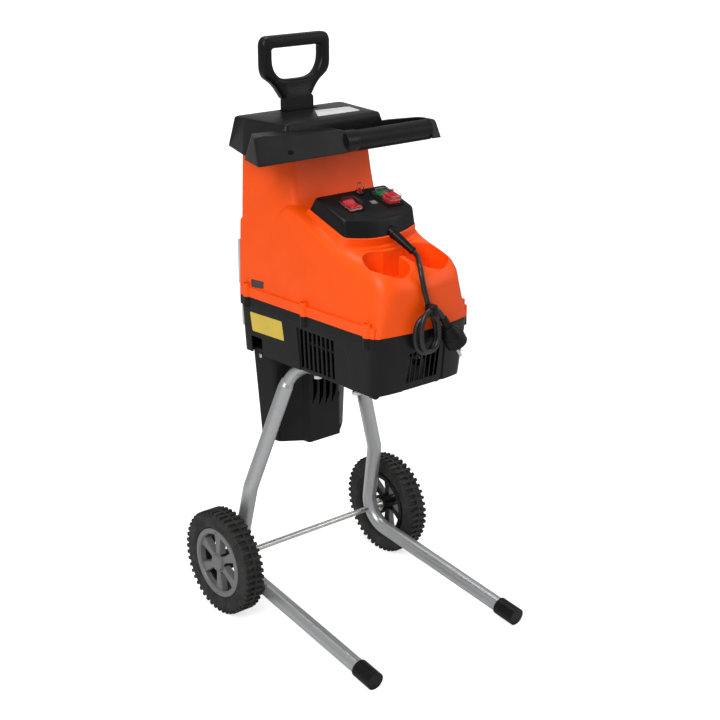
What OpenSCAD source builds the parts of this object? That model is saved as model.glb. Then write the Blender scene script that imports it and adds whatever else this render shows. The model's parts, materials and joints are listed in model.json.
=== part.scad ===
// Electric garden shredder on a two-leg tube stand with wheels.
// Lengths are millimetres. X runs across the machine, -Y is the front with the
// switches, +Z is up, and the wheels and foot caps stand on Z = 0.

/* [Stand] */
// Outer diameter of the leg tube
tube_d = 25; // [22:0.5:28]
// Wall of the leg tube
tube_wall = 1.5; // [1:0.1:2.5]
// How far the front ends of the foot tubes lie inside the tyres
feet_in = 9; // [4:1:14]
// Distance from the axle forward to the foot caps
foot_reach = 361; // [330:1:400]
// Fall of the foot tubes towards the front, in degrees
foot_slope = 8; // [7:0.1:9]
// Diameter of the foot caps
foot_cap_d = 30; // [29:0.5:34]
// Length of the foot caps
foot_cap_l = 40; // [30:1:60]
// Diameter of the top rails, which plug into the legs
rail_d = 18; // [16:0.5:19]
// Half the distance between the two top rails
rail_half_w = 63; // [61:0.5:65]
// Radius of the bends in the leg tube
tube_bend_r = 46; // [42:1:50]
// Radius of the bends in the top rails
rail_bend_r = 60; // [55:1:62]

/* [Wheels] */
// Outer diameter of the tyre
wheel_d = 180; // [176:1:186]
// Width of the tyre
wheel_w = 34; // [30:1:34]
// Diameter of the rim under the tyre
rim_d = 120; // [110:1:128]
// Number of spokes
spoke_count = 6; // [4:1:8]
// Number of lugs in each row of the tread
lug_count = 44; // [30:1:50]
// Depth of the tread
lug_depth = 4; // [2:0.5:6]
// Diameter of the axle
axle_d = 10; // [8:0.5:12]
// Distance between the outer faces of the tyres
track_w = 396; // [394:1:410]

/* [Lower housing] */
// Height of the bottom edge of the housing
base_z = 441; // [440:0.5:442]
// Height of the seam between the two housings
seam_z = 537; // [534:1:545]
// Half width of the housings at the back
half_w_back = 107; // [105:1:110]
// Half width of the housings at the front
half_w_front = 95; // [94:1:98]
// Distance from the axle forward to the front corners of the housing
front_reach = 291; // [288:1:294]
// Bow of the front face
front_bow = 9; // [4:1:12]
// Distance from the axle back to the rear face of the housing
back_reach = 38; // [36:1:42]
// Wall of the housings
wall = 3; // [2:0.25:3.5]
// Number of slots in each side vent
side_slots = 8; // [5:1:8]
// Number of slots in the front vent
front_slots = 6; // [4:1:7]

/* [Upper housing] */
// Height of the top of the hopper tower
tower_z = 790; // [785:1:792]
// Radius of the two cup recesses
cup_r = 36; // [30:0.5:37]
// Depth of the cup recesses
cup_depth = 38; // [25:1:42]
// Half the distance between the cup recesses
cup_half_w = 39.5; // [38:0.5:44]

/* [Hopper collar] */
// Height of the top of the collar
collar_z = 830; // [826:1:834]
// Half length of the carrying bar
bar_half_w = 183; // [175:1:190]
// Diameter of the hand grip
grip_d = 31; // [28:0.5:33]
// Width of the feed slot in the collar
slot_w = 66; // [60:1:90]
// Depth of the feed slot in the collar, front to back
slot_t = 30; // [24:1:40]

/* [Plunger] */
// Height of the top of the plunger at rest
plunger_z = 948; // [940:1:960]
// Width of the D-shaped handle
handle_w = 134; // [130:1:140]
// Width of the plunger stem
stem_w = 53; // [50:1:60]
// Thickness of the plunger stem, front to back
stem_t = 18; // [14:1:20]
// Thickness of the handle, front to back
handle_t = 20; // [18:1:24]
// Travel of the plunger out of the hopper
plunger_travel = 200; // [100:5:220]

/* [Control box] */
// Tilt of the control box towards the front, in degrees
panel_tilt = 19; // [17:0.5:21]
// Half width of the control box at its foot
panel_half_w = 72.5; // [70:0.5:76]
// Thickness of the control box
panel_h = 23; // [21:0.5:25]

/* [Discharge chute] */
// Height of the mouth of the chute
chute_z = 280; // [240:1:320]
// Half width of the chute at its mouth
chute_half_w = 75; // [65:1:77]
// Wall of the chute
chute_wall = 2.5; // [2:0.25:3]

/* [Cutting unit] */
// Diameter of the cutter disc
disc_d = 148; // [130:1:150]
// Thickness of the cutter disc
disc_t = 8; // [6:0.5:9]
// Diameter of the motor
motor_d = 100; // [90:1:104]
// Height of the motor above its plate
motor_h = 94; // [84:1:96]
// Diameter of the large pulley under the disc
disc_pulley_d = 56; // [50:1:60]
// Diameter of the small pulley on the motor
motor_pulley_d = 28; // [24:1:34]

/* [Mains lead] */
// Diameter of the mains lead
cord_d = 8.5; // [7:0.5:9]

/* [Hidden] */

$fn = 48;

orange = [0.95, 0.28, 0.05];
black = [0.13, 0.13, 0.14];
dark = [0.09, 0.09, 0.10];
silver = [0.70, 0.71, 0.72];
zinc = [0.78, 0.80, 0.82];
steel = [0.60, 0.61, 0.63];
red = [0.78, 0.08, 0.10];
green = [0.10, 0.52, 0.22];
clear = [0.85, 0.90, 0.92, 0.35];
rim_grey = [0.28, 0.28, 0.29];
rubber = [0.12, 0.12, 0.12];
light_grey = [0.72, 0.72, 0.70];

// ---- shared clearances ----
gap = 0.3;        // between pieces that move, or curved faces that lie together
run = 0.05;       // radial running fit of a shaft
cut = 1;          // how far a cutting tool runs past a face

// ---- stand, measured from the wheel axle ----
wheel_r = wheel_d / 2;
wheel_out = track_w / 2;
wheel_in = wheel_out - wheel_w;
feet_half_w = wheel_in - feet_in;
foot_z = foot_cap_d / 2 * cos(foot_slope);
heel = [wheel_in - 17.5, 13];             // where the foot tube meets the leg, in plan
toe = atan((feet_half_w - heel[0]) / (foot_reach + heel[1]));
foot_dir = [sin(toe) * cos(foot_slope), -cos(toe) * cos(foot_slope), -sin(foot_slope)];
foot_run = (foot_reach + heel[1]) / (cos(toe) * cos(foot_slope));
foot_end = [feet_half_w, -foot_reach, foot_z];
heel_end = foot_end - foot_dir * foot_run;
knee = [wheel_in - 28, -18, 218];
rail_z = base_z - 7;
rail_y = -49;
rail_front = -front_reach + 47;
rail_corner = [rail_half_w, rail_y, rail_z];
bend_d = rail_d + 2.5;                     // diameter of the rail at its bend
turn_y = rail_y - 38;                      // the bend begins behind this
leg_top = knee + (rail_corner - knee) * 0.80;   // where the rail comes out of the leg
spigot_l = 25;
leg_path = [leg_top, knee, heel_end, foot_end - foot_dir * 3];
rail_path = [[rail_half_w, rail_front, rail_z], rail_corner, leg_top];
foot_front = foot_reach + foot_cap_d / 2 * sqrt(1 - foot_dir[1] * foot_dir[1]);
// the origin lies under the middle of the machine, this far in front of the axle
axle_y = (foot_front - wheel_r) / 2;
bolt_y = [-109, -206];
bolt_d = 8;

hub_r = 17;
spoke_t = 12;
washer_t = 1.2;

// ---- housings ----
draft = 4.5;                               // the walls lean in by this much at the bottom
corner_r = 16;
front_y = -front_reach;
back_y = back_reach;
floor_z = rail_z + rail_d / 2 + gap;       // the floor lies on the top rails
floor_t = 3;
recess = wall * 0.6;
band_h = 16;
band_out = 1.8;
boss_y = [19, -125, -270];
deck_dip = 4;                              // the deck is lower between the cups
boss_r = 7;
boss_up = 22;                              // height of a boss above the seam
seam_screw_d = 4;

// ---- control box frame: its foot starts at this line and runs down to the front ----
panel_y = -104;
panel_z = 699;
panel_len = 90.5;
panel_bow = 16;
panel_in = 1;                              // its sides lean in by this much
pedestal_gap = 2;
cup_y = -248;                              // middle of the cups

// ---- hopper ----
plunger_y = 17;
slot_hw = slot_w / 2;
foot_top = collar_z - 17;
foot_low = 600;
bar_y = -110;
bar_z = collar_z - 34;
bar_bottom = collar_z - 48;
wing_z = collar_z - 18;                    // top of the wing over the grip
bar_front = -126;
cuff_x = -11;                              // left end of the cuff round the grip's end
grip_x0 = 13;
hand_back = -79;                           // wall behind the fingers
grip_x1 = bar_half_w - 17;

// ---- cutting unit ----
disc_y = -43;
motor_y = -205;
plate_z = 484;
plate_t = 4;
plate_top = plate_z + plate_t;
disc_z = plate_top + 8;
disc_top = disc_z + disc_t;
spindle_d = 15;
pulley_z = floor_z + floor_t + 3;
pulley_t = 14;
shaft_d = 10;
blade_t = 5;
funnel_z = disc_top + blade_t + 6;
funnel_wall = 2.2;
funnel_back = back_reach - wall - gap;

// ---- chute ----
chute_top = plate_z - gap;
latch_y = -13;
latch_w = 26;
latch_top = 470;
chute_back = 31;
chute_side_front = -9;
chute_nose_y = -48;
chute_nose_hw = 34;

// ---- mains lead: the route runs from the strain relief to the tie, then to the plug ----
relief_start = [10.5, -202.2, 668.9];
relief_end = [24, -238, 642];
relief_axis = unit(relief_end - relief_start);
lead_points = [relief_end, relief_end + relief_axis * 3, relief_end + relief_axis * 6,
    [23, -250, 639], [15, -260, 639.5], [6, -271, 639.5], [-3, -282, 638.5], [-9, -291, 636],
    [-11, -297, 628], [-10, -300, 616], [-7, -303, 604], [-5, -308, 595], [-5, -311, 590],
    [-5, -311, 585], [-5, -311, 580]];
tie_at = [-6, -312, 564];
tie_size = [15, 18, 16];
hank_h = 66;
hank_w = 48;
hank_t = 18;
plug_axis = [0.54, 0, -0.84];
plug_at = [13, -319, 557];
tail_points = [[1.5, -315, 573], [3, -315, 573], [4.5, -315, 573], [8, -316.5, 571],
    [10, -318, 566.5], plug_at - plug_axis * 5, plug_at - plug_axis * 2.5, plug_at];
plug_l = 54;
plug_turn = 55;                            // how far the plug is turned about its own axis

// ------------------------------------------------------------------ helpers

// The pieces are drawn from the wheel axle, and this puts them in the part's own frame
module from_axle() { translate([0, axle_y, 0]) children(); }

// Both a piece and its mirror image
module pair() { children(); mirror([1, 0, 0]) children(); }

function unit(v) = v / norm(v);
function lerp(a, b, t) = a + (b - a) * t;

// A closed outline with each corner rounded by a curve of k + 1 points
function soft(pts, r, k = 4) = [for (i = [0:len(pts) - 1])
    let (n = len(pts), p = pts[i], a = pts[(i + n - 1) % n], b = pts[(i + 1) % n],
         q = is_list(r) ? r[i] : r,
         s = p + unit(a - p) * min(q, norm(a - p) * 0.45),
         e = p + unit(b - p) * min(q, norm(b - p) * 0.45))
    for (j = [0:k]) let (t = j / k) s * (1 - t) * (1 - t) + p * 2 * t * (1 - t) + e * t * t];

// The mirror image of an outline's right half, added to make it whole
function whole(half) = concat(half, [for (i = [len(half) - 1:-1:0]) [-half[i][0], half[i][1]]]);

// An outline at one height, grown outwards by g along X and Y
function ring(pts, z, g = 0) = [for (p = pts)
    [p[0] + sign(p[0]) * g, p[1] + sign(p[1] - disc_y) * g, z]];

// A skin over rings of equal length, bottom ring first, each anticlockwise from above
module loft(rings) {
    n = len(rings[0]);
    k = len(rings);
    polyhedron(points = [for (r = rings) each r],
        faces = concat([[for (i = [0:n - 1]) i]],
            [for (j = [0:k - 2]) for (i = [0:n - 1]) let (m = (i + 1) % n)
                each [[j * n + i, (j + 1) * n + i, (j + 1) * n + m],
                      [j * n + i, (j + 1) * n + m, j * n + m]]],
            [[for (i = [n - 1:-1:0]) (k - 1) * n + i]]));
}

// A straight round bar between two points
module bar(a, b, d) {
    v = b - a;
    translate(a) rotate([0, acos(v[2] / norm(v)), atan2(v[1], v[0])])
        cylinder(d = d, h = norm(v));
}

// A round bar along a path, with a bend of radius r at each inner point
// (a bend is a little thicker than the straight bars, which run 1 mm into it)
module bent_bar(path, d, r) {
    n = len(path);
    dirs = [for (i = [0:n - 2]) unit(path[i + 1] - path[i])];
    turn = [for (i = [1:n - 2]) acos(dirs[i - 1] * dirs[i])];
    trim = concat([0], [for (t = turn) r * tan(t / 2)], [0]);
    for (i = [0:n - 2])
        bar(path[i] + dirs[i] * (trim[i] - (i > 0 ? 1 : 0)),
            path[i + 1] - dirs[i] * (trim[i + 1] - (i < n - 2 ? 1 : 0)), d);
    for (i = [1:n - 2]) {
        a = dirs[i - 1];
        b = dirs[i];
        centre = path[i] + unit(b - a) * r / cos(turn[i - 1] / 2);
        x = (path[i] - a * trim[i] - centre) / r;
        z = cross(x, a);
        multmatrix([[x[0], a[0], z[0], centre[0]], [x[1], a[1], z[1], centre[1]],
                    [x[2], a[2], z[2], centre[2]], [0, 0, 0, 1]])
            rotate_extrude(angle = turn[i - 1]) translate([r, 0]) circle(d = d + 0.1);
    }
}

// A tube of n sides along points, for the lead
module lead(points, d, n = 10) {
    k = len(points);
    dirs = [for (i = [0:k - 1]) unit(points[min(i + 1, k - 1)] - points[max(i - 1, 0)])];
    loft([for (i = [0:k - 1])
        let (side = unit(cross([0.25, 1, 0.1], dirs[i])), up = cross(dirs[i], side))
        [for (j = [0:n - 1]) points[i] + d / 2 * (cos(360 * j / n) * side
            + sin(360 * j / n) * up)]]);
}

// Points along a smooth curve through the given points, m to each stretch
function curve(p, m) = concat([for (i = [0:len(p) - 2]) let (
    a = p[max(i - 1, 0)], b = p[i], c = p[i + 1], e = p[min(i + 2, len(p) - 1)])
    for (j = [0:m - 1]) let (t = j / m)
        0.5 * (2 * b + (c - a) * t + (2 * a - 5 * b + 4 * c - e) * t * t
            + (3 * b - a - 3 * c + e) * t * t * t)], [p[len(p) - 1]]);

// The frame of the control box: +X right, -Y down the slope, +Z out of the panel
module on_panel(v = 0, n = 0) {
    translate([0, panel_y, panel_z]) rotate([panel_tilt, 0, 0]) translate([0, -v, n])
        children();
}

// A socket-head or pan-head screw with its shank along -Z
module screw(head_d, head_h, d, l) {
    difference() {
        cylinder(d = head_d, h = head_h);
        translate([-head_d / 2, -0.5, head_h * 0.55]) cube([head_d, 1, head_h]);
    }
    translate([0, 0, -l]) cylinder(d = d, h = l);
}

// ------------------------------------------------------------------ housings

// Plan of the housings: flat back, sides that spread to the back, bowed front
function body_plan(hw_b, hw_f, y_b, y_f, bow) = soft(whole([
    [hw_f * 0.32, y_f - bow * 0.92], [hw_f * 0.66, y_f - bow * 0.6], [hw_f, y_f],
    [hw_b, y_b]]), [6, 6, corner_r, 8, 8, corner_r, 6, 6]);

function lower_plan(g, lean) = body_plan(half_w_back + g - lean, half_w_front + g - lean,
    back_y + g - lean * 0.7, front_y - g + lean * 2.6, front_bow - lean * 0.5);

module lower_shell(g) {
    loft([ring(lower_plan(g, draft), base_z - (g < 0 ? cut : 0)),
        ring(lower_plan(g, 0), seam_z + (g < 0 ? cut : 0))]);
}

module seam_bosses(z0, z1) {
    for (y = boss_y) {
        x = lerp(half_w_front, half_w_back, (y - front_y) / (back_y - front_y));
        translate([x, y, z0]) cylinder(r = boss_r, h = z1 - z0);
    }
}

module band(z0, z1) {
    intersection() {
        translate([0, 0, z0]) linear_extrude(z1 - z0) polygon(lower_plan(band_out, 0));
        translate([-200, front_y + 6, z0 - cut]) cube([400, 400, z1 - z0 + 2 * cut]);
    }
}

module vent_slots() {
    // side slots, high and narrow, cut through the wall
    pitch = 84 / side_slots;
    for (i = [0:side_slots - 1])
        translate([70, -108 - pitch * (i + 0.8), base_z + 6]) cube([60, pitch * 0.6, 64]);
    // front slots
    f_pitch = 60 / front_slots;
    for (i = [0:front_slots - 1])
        translate([-34 + f_pitch * (i + 0.5) - f_pitch * 0.3, front_y - 30, base_z + 12])
            cube([f_pitch * 0.6, 60, 50]);
}

module side_recess() {
    // the recess round the side slots, square at the back and curved at its front
    rotate([90, 0, 90]) linear_extrude(200)
        polygon(soft([[-227, base_z - cut], [-108, base_z - cut], [-104, 513.5],
            [-180, 515], [-224, 508]], [1, 1, 3, 30, 34], 5));
}

module front_recess() {
    // the recess round the front slots, open at its foot
    translate([0, -200, 0]) rotate([90, 0, 0]) linear_extrude(200)
        polygon(soft([[-37, base_z - cut], [46, base_z - cut], [42, 512], [-24, 512]],
            [1, 1, 12, 24], 5));
}

module lower_housing() {
    color(black) from_axle() difference() {
        union() {
            difference() {
                union() { lower_shell(0); band(seam_z - band_h, seam_z); }
                difference() {
                    lower_shell(-wall);
                    // the floor
                    translate([-120, front_y - 20, floor_z]) cube([240, 400, floor_t]);
                }
            }
            intersection() {
                pair() seam_bosses(seam_z - 17, seam_z);
                translate([-200, -400, 0]) cube([400, 800, seam_z]);
            }
            // shelves that carry the bearing plate
            for (y = [front_y + 22, -128]) pair()
                translate([70, y, floor_z + floor_t - 0.5]) cube([10, 14, plate_z - floor_z
                    - floor_t + 0.5]);
        }
        recesses();
        vent_slots();
        mirror([1, 0, 0]) vent_slots();
        // openings at the back corners for the chute's latches
        pair() translate([chute_half_w + 17, latch_y, base_z - cut])
            cube([40, latch_w + 2, latch_top - base_z + cut]);
        // grooves for the thick bends of the rails
        pair() translate([rail_half_w, turn_y - 16, rail_z]) rotate([-90, 0, 0])
            cylinder(d = bend_d + 2 * gap, h = 40);
        // way through the floor for the chute
        translate([-chute_half_w - 1, chute_side_front - 1, base_z - cut])
            cube([2 * chute_half_w + 2, chute_back - chute_side_front + 2, 60]);
        // holes for the rail bolts and the seam screws
        pair() for (y = bolt_y) translate([rail_half_w, y, base_z])
            cylinder(d = bolt_d + 2 * gap, h = 40);
        pair() seam_screw_holes(seam_z - 18, seam_z + cut);
    }
}

module recesses() {
    difference() {
        union() { pair() side_recess(); front_recess(); }
        // leaves the wall behind the recesses, a little below the surface
        loft([ring(lower_plan(-recess, draft), base_z - 2 * cut),
            ring(lower_plan(-recess, 0), seam_z)]);
    }
}

module seam_screw_holes(z0, z1) {
    for (y = boss_y) {
        x = lerp(half_w_front, half_w_back, (y - front_y) / (back_y - front_y));
        translate([x + 0.6, y, z0]) cylinder(d = seam_screw_d + 0.4, h = z1 - z0);
    }
}

// One cross-section of the upper body: half width at the seam and at the top, top
// height and shoulder radius, leaning back by lean and bowed forward by bow
function section(y, wb, wt, h, r, lean, bow, dip, z0) = let (
    k = 4,
    right = [for (j = [0:k]) [wt - r + r * cos(90 * j / k), h - r + r * sin(90 * j / k)]],
    flat = [for (j = [1:7]) [lerp(wt - r, -wt + r, j / 8), h - dip * sin(j * 22.5)]],
    left = [for (j = [k:-1:0]) [-right[j][0], right[j][1]]],
    top = concat(right, flat, left),
    n = len(top),
    base = [for (j = [0:n - 1]) [lerp(-wb, wb, j / (n - 1)), z0]])
    [for (p = concat(base, top)) [p[0], y + lean * (p[1] - seam_z)
        - bow * (1 - (p[0] / wb) * (p[0] / wb)), p[1]]];

// Stations of the upper body from back to front:
// distance, half width at the seam, half width at the top, height, shoulder radius
stations = [[back_y, 0, 4.6, 664, 6], [0, 2, 6.5, 665, 6], [-44, 4, 9.2, 667, 7],
    [-56, 4.5, 10.1, 688, 9], [-66, 4.8, 10.8, 700, 12], [-78, 5.2, 11.6, 702, 14],
    [-100, 6, 13, 693, 16], [-125, 7, 14.4, 682.8, 17.5], [-150, 8, 15.8, 672, 19],
    [-170, 8.6, 16.8, 662.5, 20], [-185, 9, 17.5, 655.8, 20.5], [-197, 9.4, 18.1, 651.2, 21],
    [-210, 9.8, 18.8, 648, 21.3], [-226, 10.3, 19.8, 644.4, 21.6], [-243, 10.8, 21, 640.6, 22],
    [-258, 11.3, 22.6, 637, 22], [-270, 11.8, 24.6, 632.6, 21.5], [-279, 12.6, 27.4, 626.4, 21],
    [-285.5, 14.2, 31.2, 618, 20], [-289.5, 17, 35, 609, 18], [front_y, 21, 38.5, 600, 16]];

module upper_body(g) {
    // half widths are given as insets from the width at the back
    z0 = seam_z - (g < 0 ? cut : 0);
    rings = [for (s = stations) let (front = max(0, (-s[0] - 200) / (front_reach - 200)))
        section(s[0] + (s[0] > 0 ? g : -g * front), half_w_back - s[1] * 1.0 + g,
            half_w_back - s[2] + g, s[3] + g, s[4], 0.055 * front, front_bow * front,
            deck_dip * min(1, front * 2), z0)];
    n = len(rings[0]);
    m = n / 2;
    k = len(rings);
    cap0 = [for (j = [0:m - 2]) each [[j, n - 1 - j, n - 2 - j], [j, n - 2 - j, j + 1]]];
    cap1 = [for (j = [0:m - 2]) each [
        [(k - 1) * n + j, (k - 1) * n + j + 1, (k - 1) * n + n - 2 - j],
        [(k - 1) * n + j, (k - 1) * n + n - 2 - j, (k - 1) * n + n - 1 - j]]];
    polyhedron(points = [for (r = rings) each r],
        faces = concat([for (f = cap0) [f[0], f[2], f[1]]],
            [for (j = [0:k - 2]) for (i = [0:n - 1]) let (q = (i + 1) % n)
                each [[j * n + i, (j + 1) * n + i, (j + 1) * n + q],
                      [j * n + i, (j + 1) * n + q, j * n + q]]],
            [for (f = cap1) [f[0], f[2], f[1]]]));
}

// Plan of the hopper tower at one height: front, chamfered shoulders, back
function tower_plan(yf, wf, yc, wc, wb, g = 0) = soft(whole([
    [wf + g, yf - g], [wc + g, yc - g * 0.4], [wb + g, back_y + g]]),
    [8, 20, 8, 8, 20, 8], 3);

// Heights of the tower with its front, half width there, chamfer and back half width
tower_levels = [[640, -118, 90, -64, 97.9, 102.6], [652, -106, 87.5, -58, 97.5, 102.4],
    [664, -98, 85.5, -54, 97, 102.0], [677, -91, 84, -51, 96.6, 101.5],
    [690, -85.5, 82.5, -49, 96.3, 101], [710, -80, 80.8, -46, 95.8, 100.2],
    [734, -75, 79.5, -43, 95, 99.2], [tower_z, -66, 77, -36, 93.5, 97]];

tower_top = tower_levels[len(tower_levels) - 1];

module tower(g) {
    loft([for (i = [0:len(tower_levels) - 1]) let (t = tower_levels[i],
            end = g < 0 ? (i == 0 ? -60 : i == len(tower_levels) - 1 ? cut : 0) : 0)
        [for (p = tower_plan(t[1], t[2], t[3], t[4], t[5], g)) [p[0], p[1], t[0] + end]]]);
}

// Plan of the control box's seat, grown by g at its sides and f at its front
function pedestal_plan(g, f) = soft(whole([[panel_half_w * 0.4, -panel_len - panel_bow - f],
    [panel_half_w + g, -panel_len - f], [panel_half_w + g, 4]]), [20, 12, 6, 6, 12, 20], 3);

// A point of the control box's own plane, seen from the axle
function panel_point(p, n) = [p[0], panel_y + p[1] * cos(panel_tilt) - n * sin(panel_tilt),
    panel_z + p[1] * sin(panel_tilt) + n * cos(panel_tilt)];

module pedestal() {
    // the raised seat of the control box, with a scallop round each cup
    difference() {
            loft(concat([for (s = [[620, 9, 7], [650, 7.5, 5]])
                [for (p = pedestal_plan(s[1], s[2])) [p[0], panel_y + p[1] * 0.97, s[0]]]],
            [for (s = [[-12, 5, 3.5], [-6, 3, 2.5], [-1, pedestal_gap, pedestal_gap],
                    [0, pedestal_gap - 1, pedestal_gap - 1]])
                [for (p = pedestal_plan(s[1], s[2])) panel_point(p, s[0])]]));
        pair() translate([cup_half_w, cup_y, 630]) cylinder(r = cup_r + 4, h = 80);
    }
}

module cup_space(grow, z0) {
    pair() translate([cup_half_w, cup_y, z0]) cylinder(r = cup_r + grow, h = 700 - z0);
    translate([-cup_half_w / 2 - grow, cup_y + 10 - grow, z0])
        cube([cup_half_w + 2 * grow, 20 + 2 * grow, 700 - z0]);
}

module upper_housing() {
    cup_floor = 640 - cup_depth;
    color(orange) from_axle() difference() {
        union() {
            difference() {
                union() {
                    upper_body(0);
                    tower(0);
                    pedestal();
                    band(seam_z, seam_z + band_h);
                }
                difference() {
                    union() {
                        upper_body(-wall);
                        tower(-wall);
                    }
                    cup_space(wall, cup_floor - wall);
                }
            }
            pair() seam_bosses(seam_z, seam_z + boss_up);
        }
        cup_space(0, cup_floor);
        // way from the pedestal into the housing for the wires
        on_panel(50, -60) cylinder(d = 24, h = 100);
        relief_hole();
        pair() seam_screw_holes(seam_z - cut, seam_z + 20);
        pair() for (y = boss_y) {
            x = lerp(half_w_front, half_w_back, (y - front_y) / (back_y - front_y));
            translate([x + 0.6, y, seam_z + 8]) cylinder(d = 8.4, h = boss_up - 7);
        }
    }
}

module seam_screws() {
    color(zinc) from_axle() pair() for (y = boss_y) {
        x = lerp(half_w_front, half_w_back, (y - front_y) / (back_y - front_y));
        translate([x + 0.6, y, seam_z + 8]) screw(7.6, 3, seam_screw_d, 22);
    }
}

module rear_cover() {
    // access cover over the back of both housings
    color(light_grey) from_axle() difference() {
        union() {
            translate([-half_w_back + 2, back_y + gap, seam_z + band_h + gap])
                cube([2 * half_w_back - 4, 5, 74]);
            translate([-half_w_back + 7, back_y + gap, seam_z - 56])
                cube([2 * half_w_back - 14, 5, 56 - band_h - gap]);
            translate([-half_w_back + 12, back_y + band_out + gap, seam_z - 30])
                cube([2 * half_w_back - 24, 4, 60]);
        }
        for (x = [-80, 80], z = [seam_z - 44, seam_z + 78])
            translate([x, back_y - cut, z]) rotate([-90, 0, 0])
                cylinder(d = seam_screw_d + 0.4, h = 12);
    }
}

module rear_cover_screws() {
    color(zinc) from_axle() for (x = [-80, 80], z = [seam_z - 44, seam_z + 78])
        translate([x, back_y + gap + 5, z]) rotate([-90, 0, 0])
            screw(8, 2.5, seam_screw_d, 5);
}

// ------------------------------------------------------------------ hopper

function at_z(pts, z) = [for (p = pts) [p[0], p[1], z]];

// The collar's own outline at its foot and at its top, grown by g
function collar_low(g) = soft(whole([[108 + g, -84 - g], [149 + g, -44], [118 + g, 45 + g]]),
    [4, 10, 8, 8, 10, 4], 3);
function collar_top(g) = soft(whole([[95 + g, -78 - g], [104 + g, -2], [110 + g, 41 + g]]),
    [6, 30, 8, 8, 30, 6], 3);

module collar_box(g) {
    // the top is a little crowned
    loft(concat([at_z(collar_low(g), bar_bottom - (g < 0 ? cut : 0))],
        [for (s = [[0, -5.5], [-1.2, -3.4], [-4, -2.2], [-14, -1], [-30, 0]])
            at_z(collar_top(g + s[0]), collar_z + s[1] + g)]));
}

// Cross-sections of the carrying wing from the middle out: distance from the middle, rise
// of its top edge on the side without the grip, back of its top, back of its foot, and drop
// of its top at the end of the grip
wing_middle = [[0, 3, -72, -60, 0], [40, 3, -72, -60, 0], [79, 5, -72, -60, 0],
    [117, 8, -73, -60, 0], [bar_half_w - 18, 12.5, -86, -66, 0]];
plain_end = [[bar_half_w - 2, 12, -112, -119, 0]];
grip_end = [[bar_half_w - 9, 12.5, -93, -82, 0.5], [bar_half_w - 5, 12.5, -98, -95, 2.5],
    [bar_half_w - 2, 12, -106, -110, 7], [bar_half_w, 12, -110, -117, 15]];

// One half of the wing, with the grip (rise 0) or without it (rise 1)
module wing(g, rise = 1) {
    e = g < 0 ? cut : 0;
    loft([for (w = concat(wing_middle, rise > 0 ? plain_end : grip_end))
        let (x = w[0] + (w[0] > 90 ? g : -g * 0.5),
            top = wing_z + w[1] * rise - w[4] + g)
        [[x, bar_front - g, bar_bottom - e], [x, w[3] + g, bar_bottom - e],
         [x, w[2] + g, top], [x, bar_front + 10 - g, top]]]);
}

// The space round the grip, open at the front, above and below
module hand_space() {
    translate([0, 0, bar_bottom - 20]) linear_extrude(100)
        polygon([[cuff_x, -160], [grip_x1, -160], [grip_x1, -92], [113, hand_back],
            [cuff_x, hand_back]]);
}

module hopper_collar() {
    color(black) from_axle() {
        // cuff round the left end of the grip
        translate([cuff_x - 1, bar_y, bar_z]) rotate([0, 90, 0])
            cylinder(d1 = grip_d + 5, d2 = grip_d + 3, h = grip_x0 - cuff_x + 1);
        difference() {
            union() { collar_box(0); wing(0, 0); mirror([1, 0, 0]) wing(0); }
            difference() {
                union() { collar_box(-wall); wing(-wall, 0); mirror([1, 0, 0]) wing(-wall); }
                // walls round the grip: behind it and at its two ends
                grip_walls();
                collar_seat();
                // sleeve round the feed slot, which guides the plunger's foot
                translate([-slot_hw - wall, plunger_y - slot_t / 2 - wall, tower_z + gap])
                    cube([slot_w + 2 * wall, slot_t + 2 * wall, 60]);
            }
            hand_space();
            // feed slot for the plunger
            translate([-slot_hw, plunger_y - slot_t / 2, collar_z - 60])
                cube([slot_w, slot_t, 80]);
            tower_top_cut();
            translate([-120, -130, bar_z]) rotate([-90, 0, 0])
                cylinder(d = seam_screw_d + 0.4, h = 20);
            translate([-120, -130, bar_z]) rotate([-90, 0, 0]) cylinder(d = 8.4, h = 6);
        }
    }
}

// Ribs inside the collar that stand on the walls of the tower
module collar_seat() {
    pair() translate([tower_top[3] - 1.6, -20, tower_z + gap]) cube([3, 50, 60]);
    translate([-50, tower_top[1] + 0.5, tower_z + gap]) cube([100, 3, 60]);
}

module grip_walls() {
    translate([0, 0, bar_bottom - 20]) linear_extrude(100)
        polygon([[cuff_x - wall, -160], [bar_half_w + 10, -160], [bar_half_w + 10, -66],
            [grip_x1 + wall, -88], [113, hand_back + wall], [cuff_x - wall, hand_back + wall]]);
}

// The tower's own outline with clearance, so that the collar slips over it
module tower_top_cut() {
    loft([for (z = [bar_bottom - 9, tower_z + gap]) at_z(tower_plan(tower_top[1] - 3,
        tower_top[2] + 1, tower_top[3], tower_top[4] + 0.6, tower_top[5] + 0.6, gap), z)]);
}

module carry_grip() {
    color(dark) from_axle() translate([grip_x0 + gap, bar_y, bar_z]) rotate([90, 0, 90])
        linear_extrude(grip_x1 - grip_x0 - 2 * gap) union() {
            circle(d = grip_d);
            translate([-10, -grip_d / 2]) square([20, 3]);
        }
}

module handle_screws() {
    color(zinc) from_axle() translate([-120, -123.4, bar_z]) rotate([90, 0, 0])
        screw(7.6, 2, seam_screw_d, 6);
}

// Plan of the funnel at its mouth and half way up, shrunk by g
function mouth_plan(hw, back, g) = soft(whole([[hw - 10 - g, -80 + g], [hw - g, -66 + g],
    [hw - g, back - g]]), [8, 12, 6, 6, 12, 8], 3);

module funnel_body(g) {
    e = g > 0 ? cut : 0;
    t = tower_top;
    loft([at_z(mouth_plan(54, funnel_back - 1.5, g), funnel_z - e),
        at_z(mouth_plan(60, funnel_back, g), 600),
        at_z(tower_plan(t[1], t[2], t[3], t[4], t[5], -wall - gap - g), tower_z - 8 + e)]);
}

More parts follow.
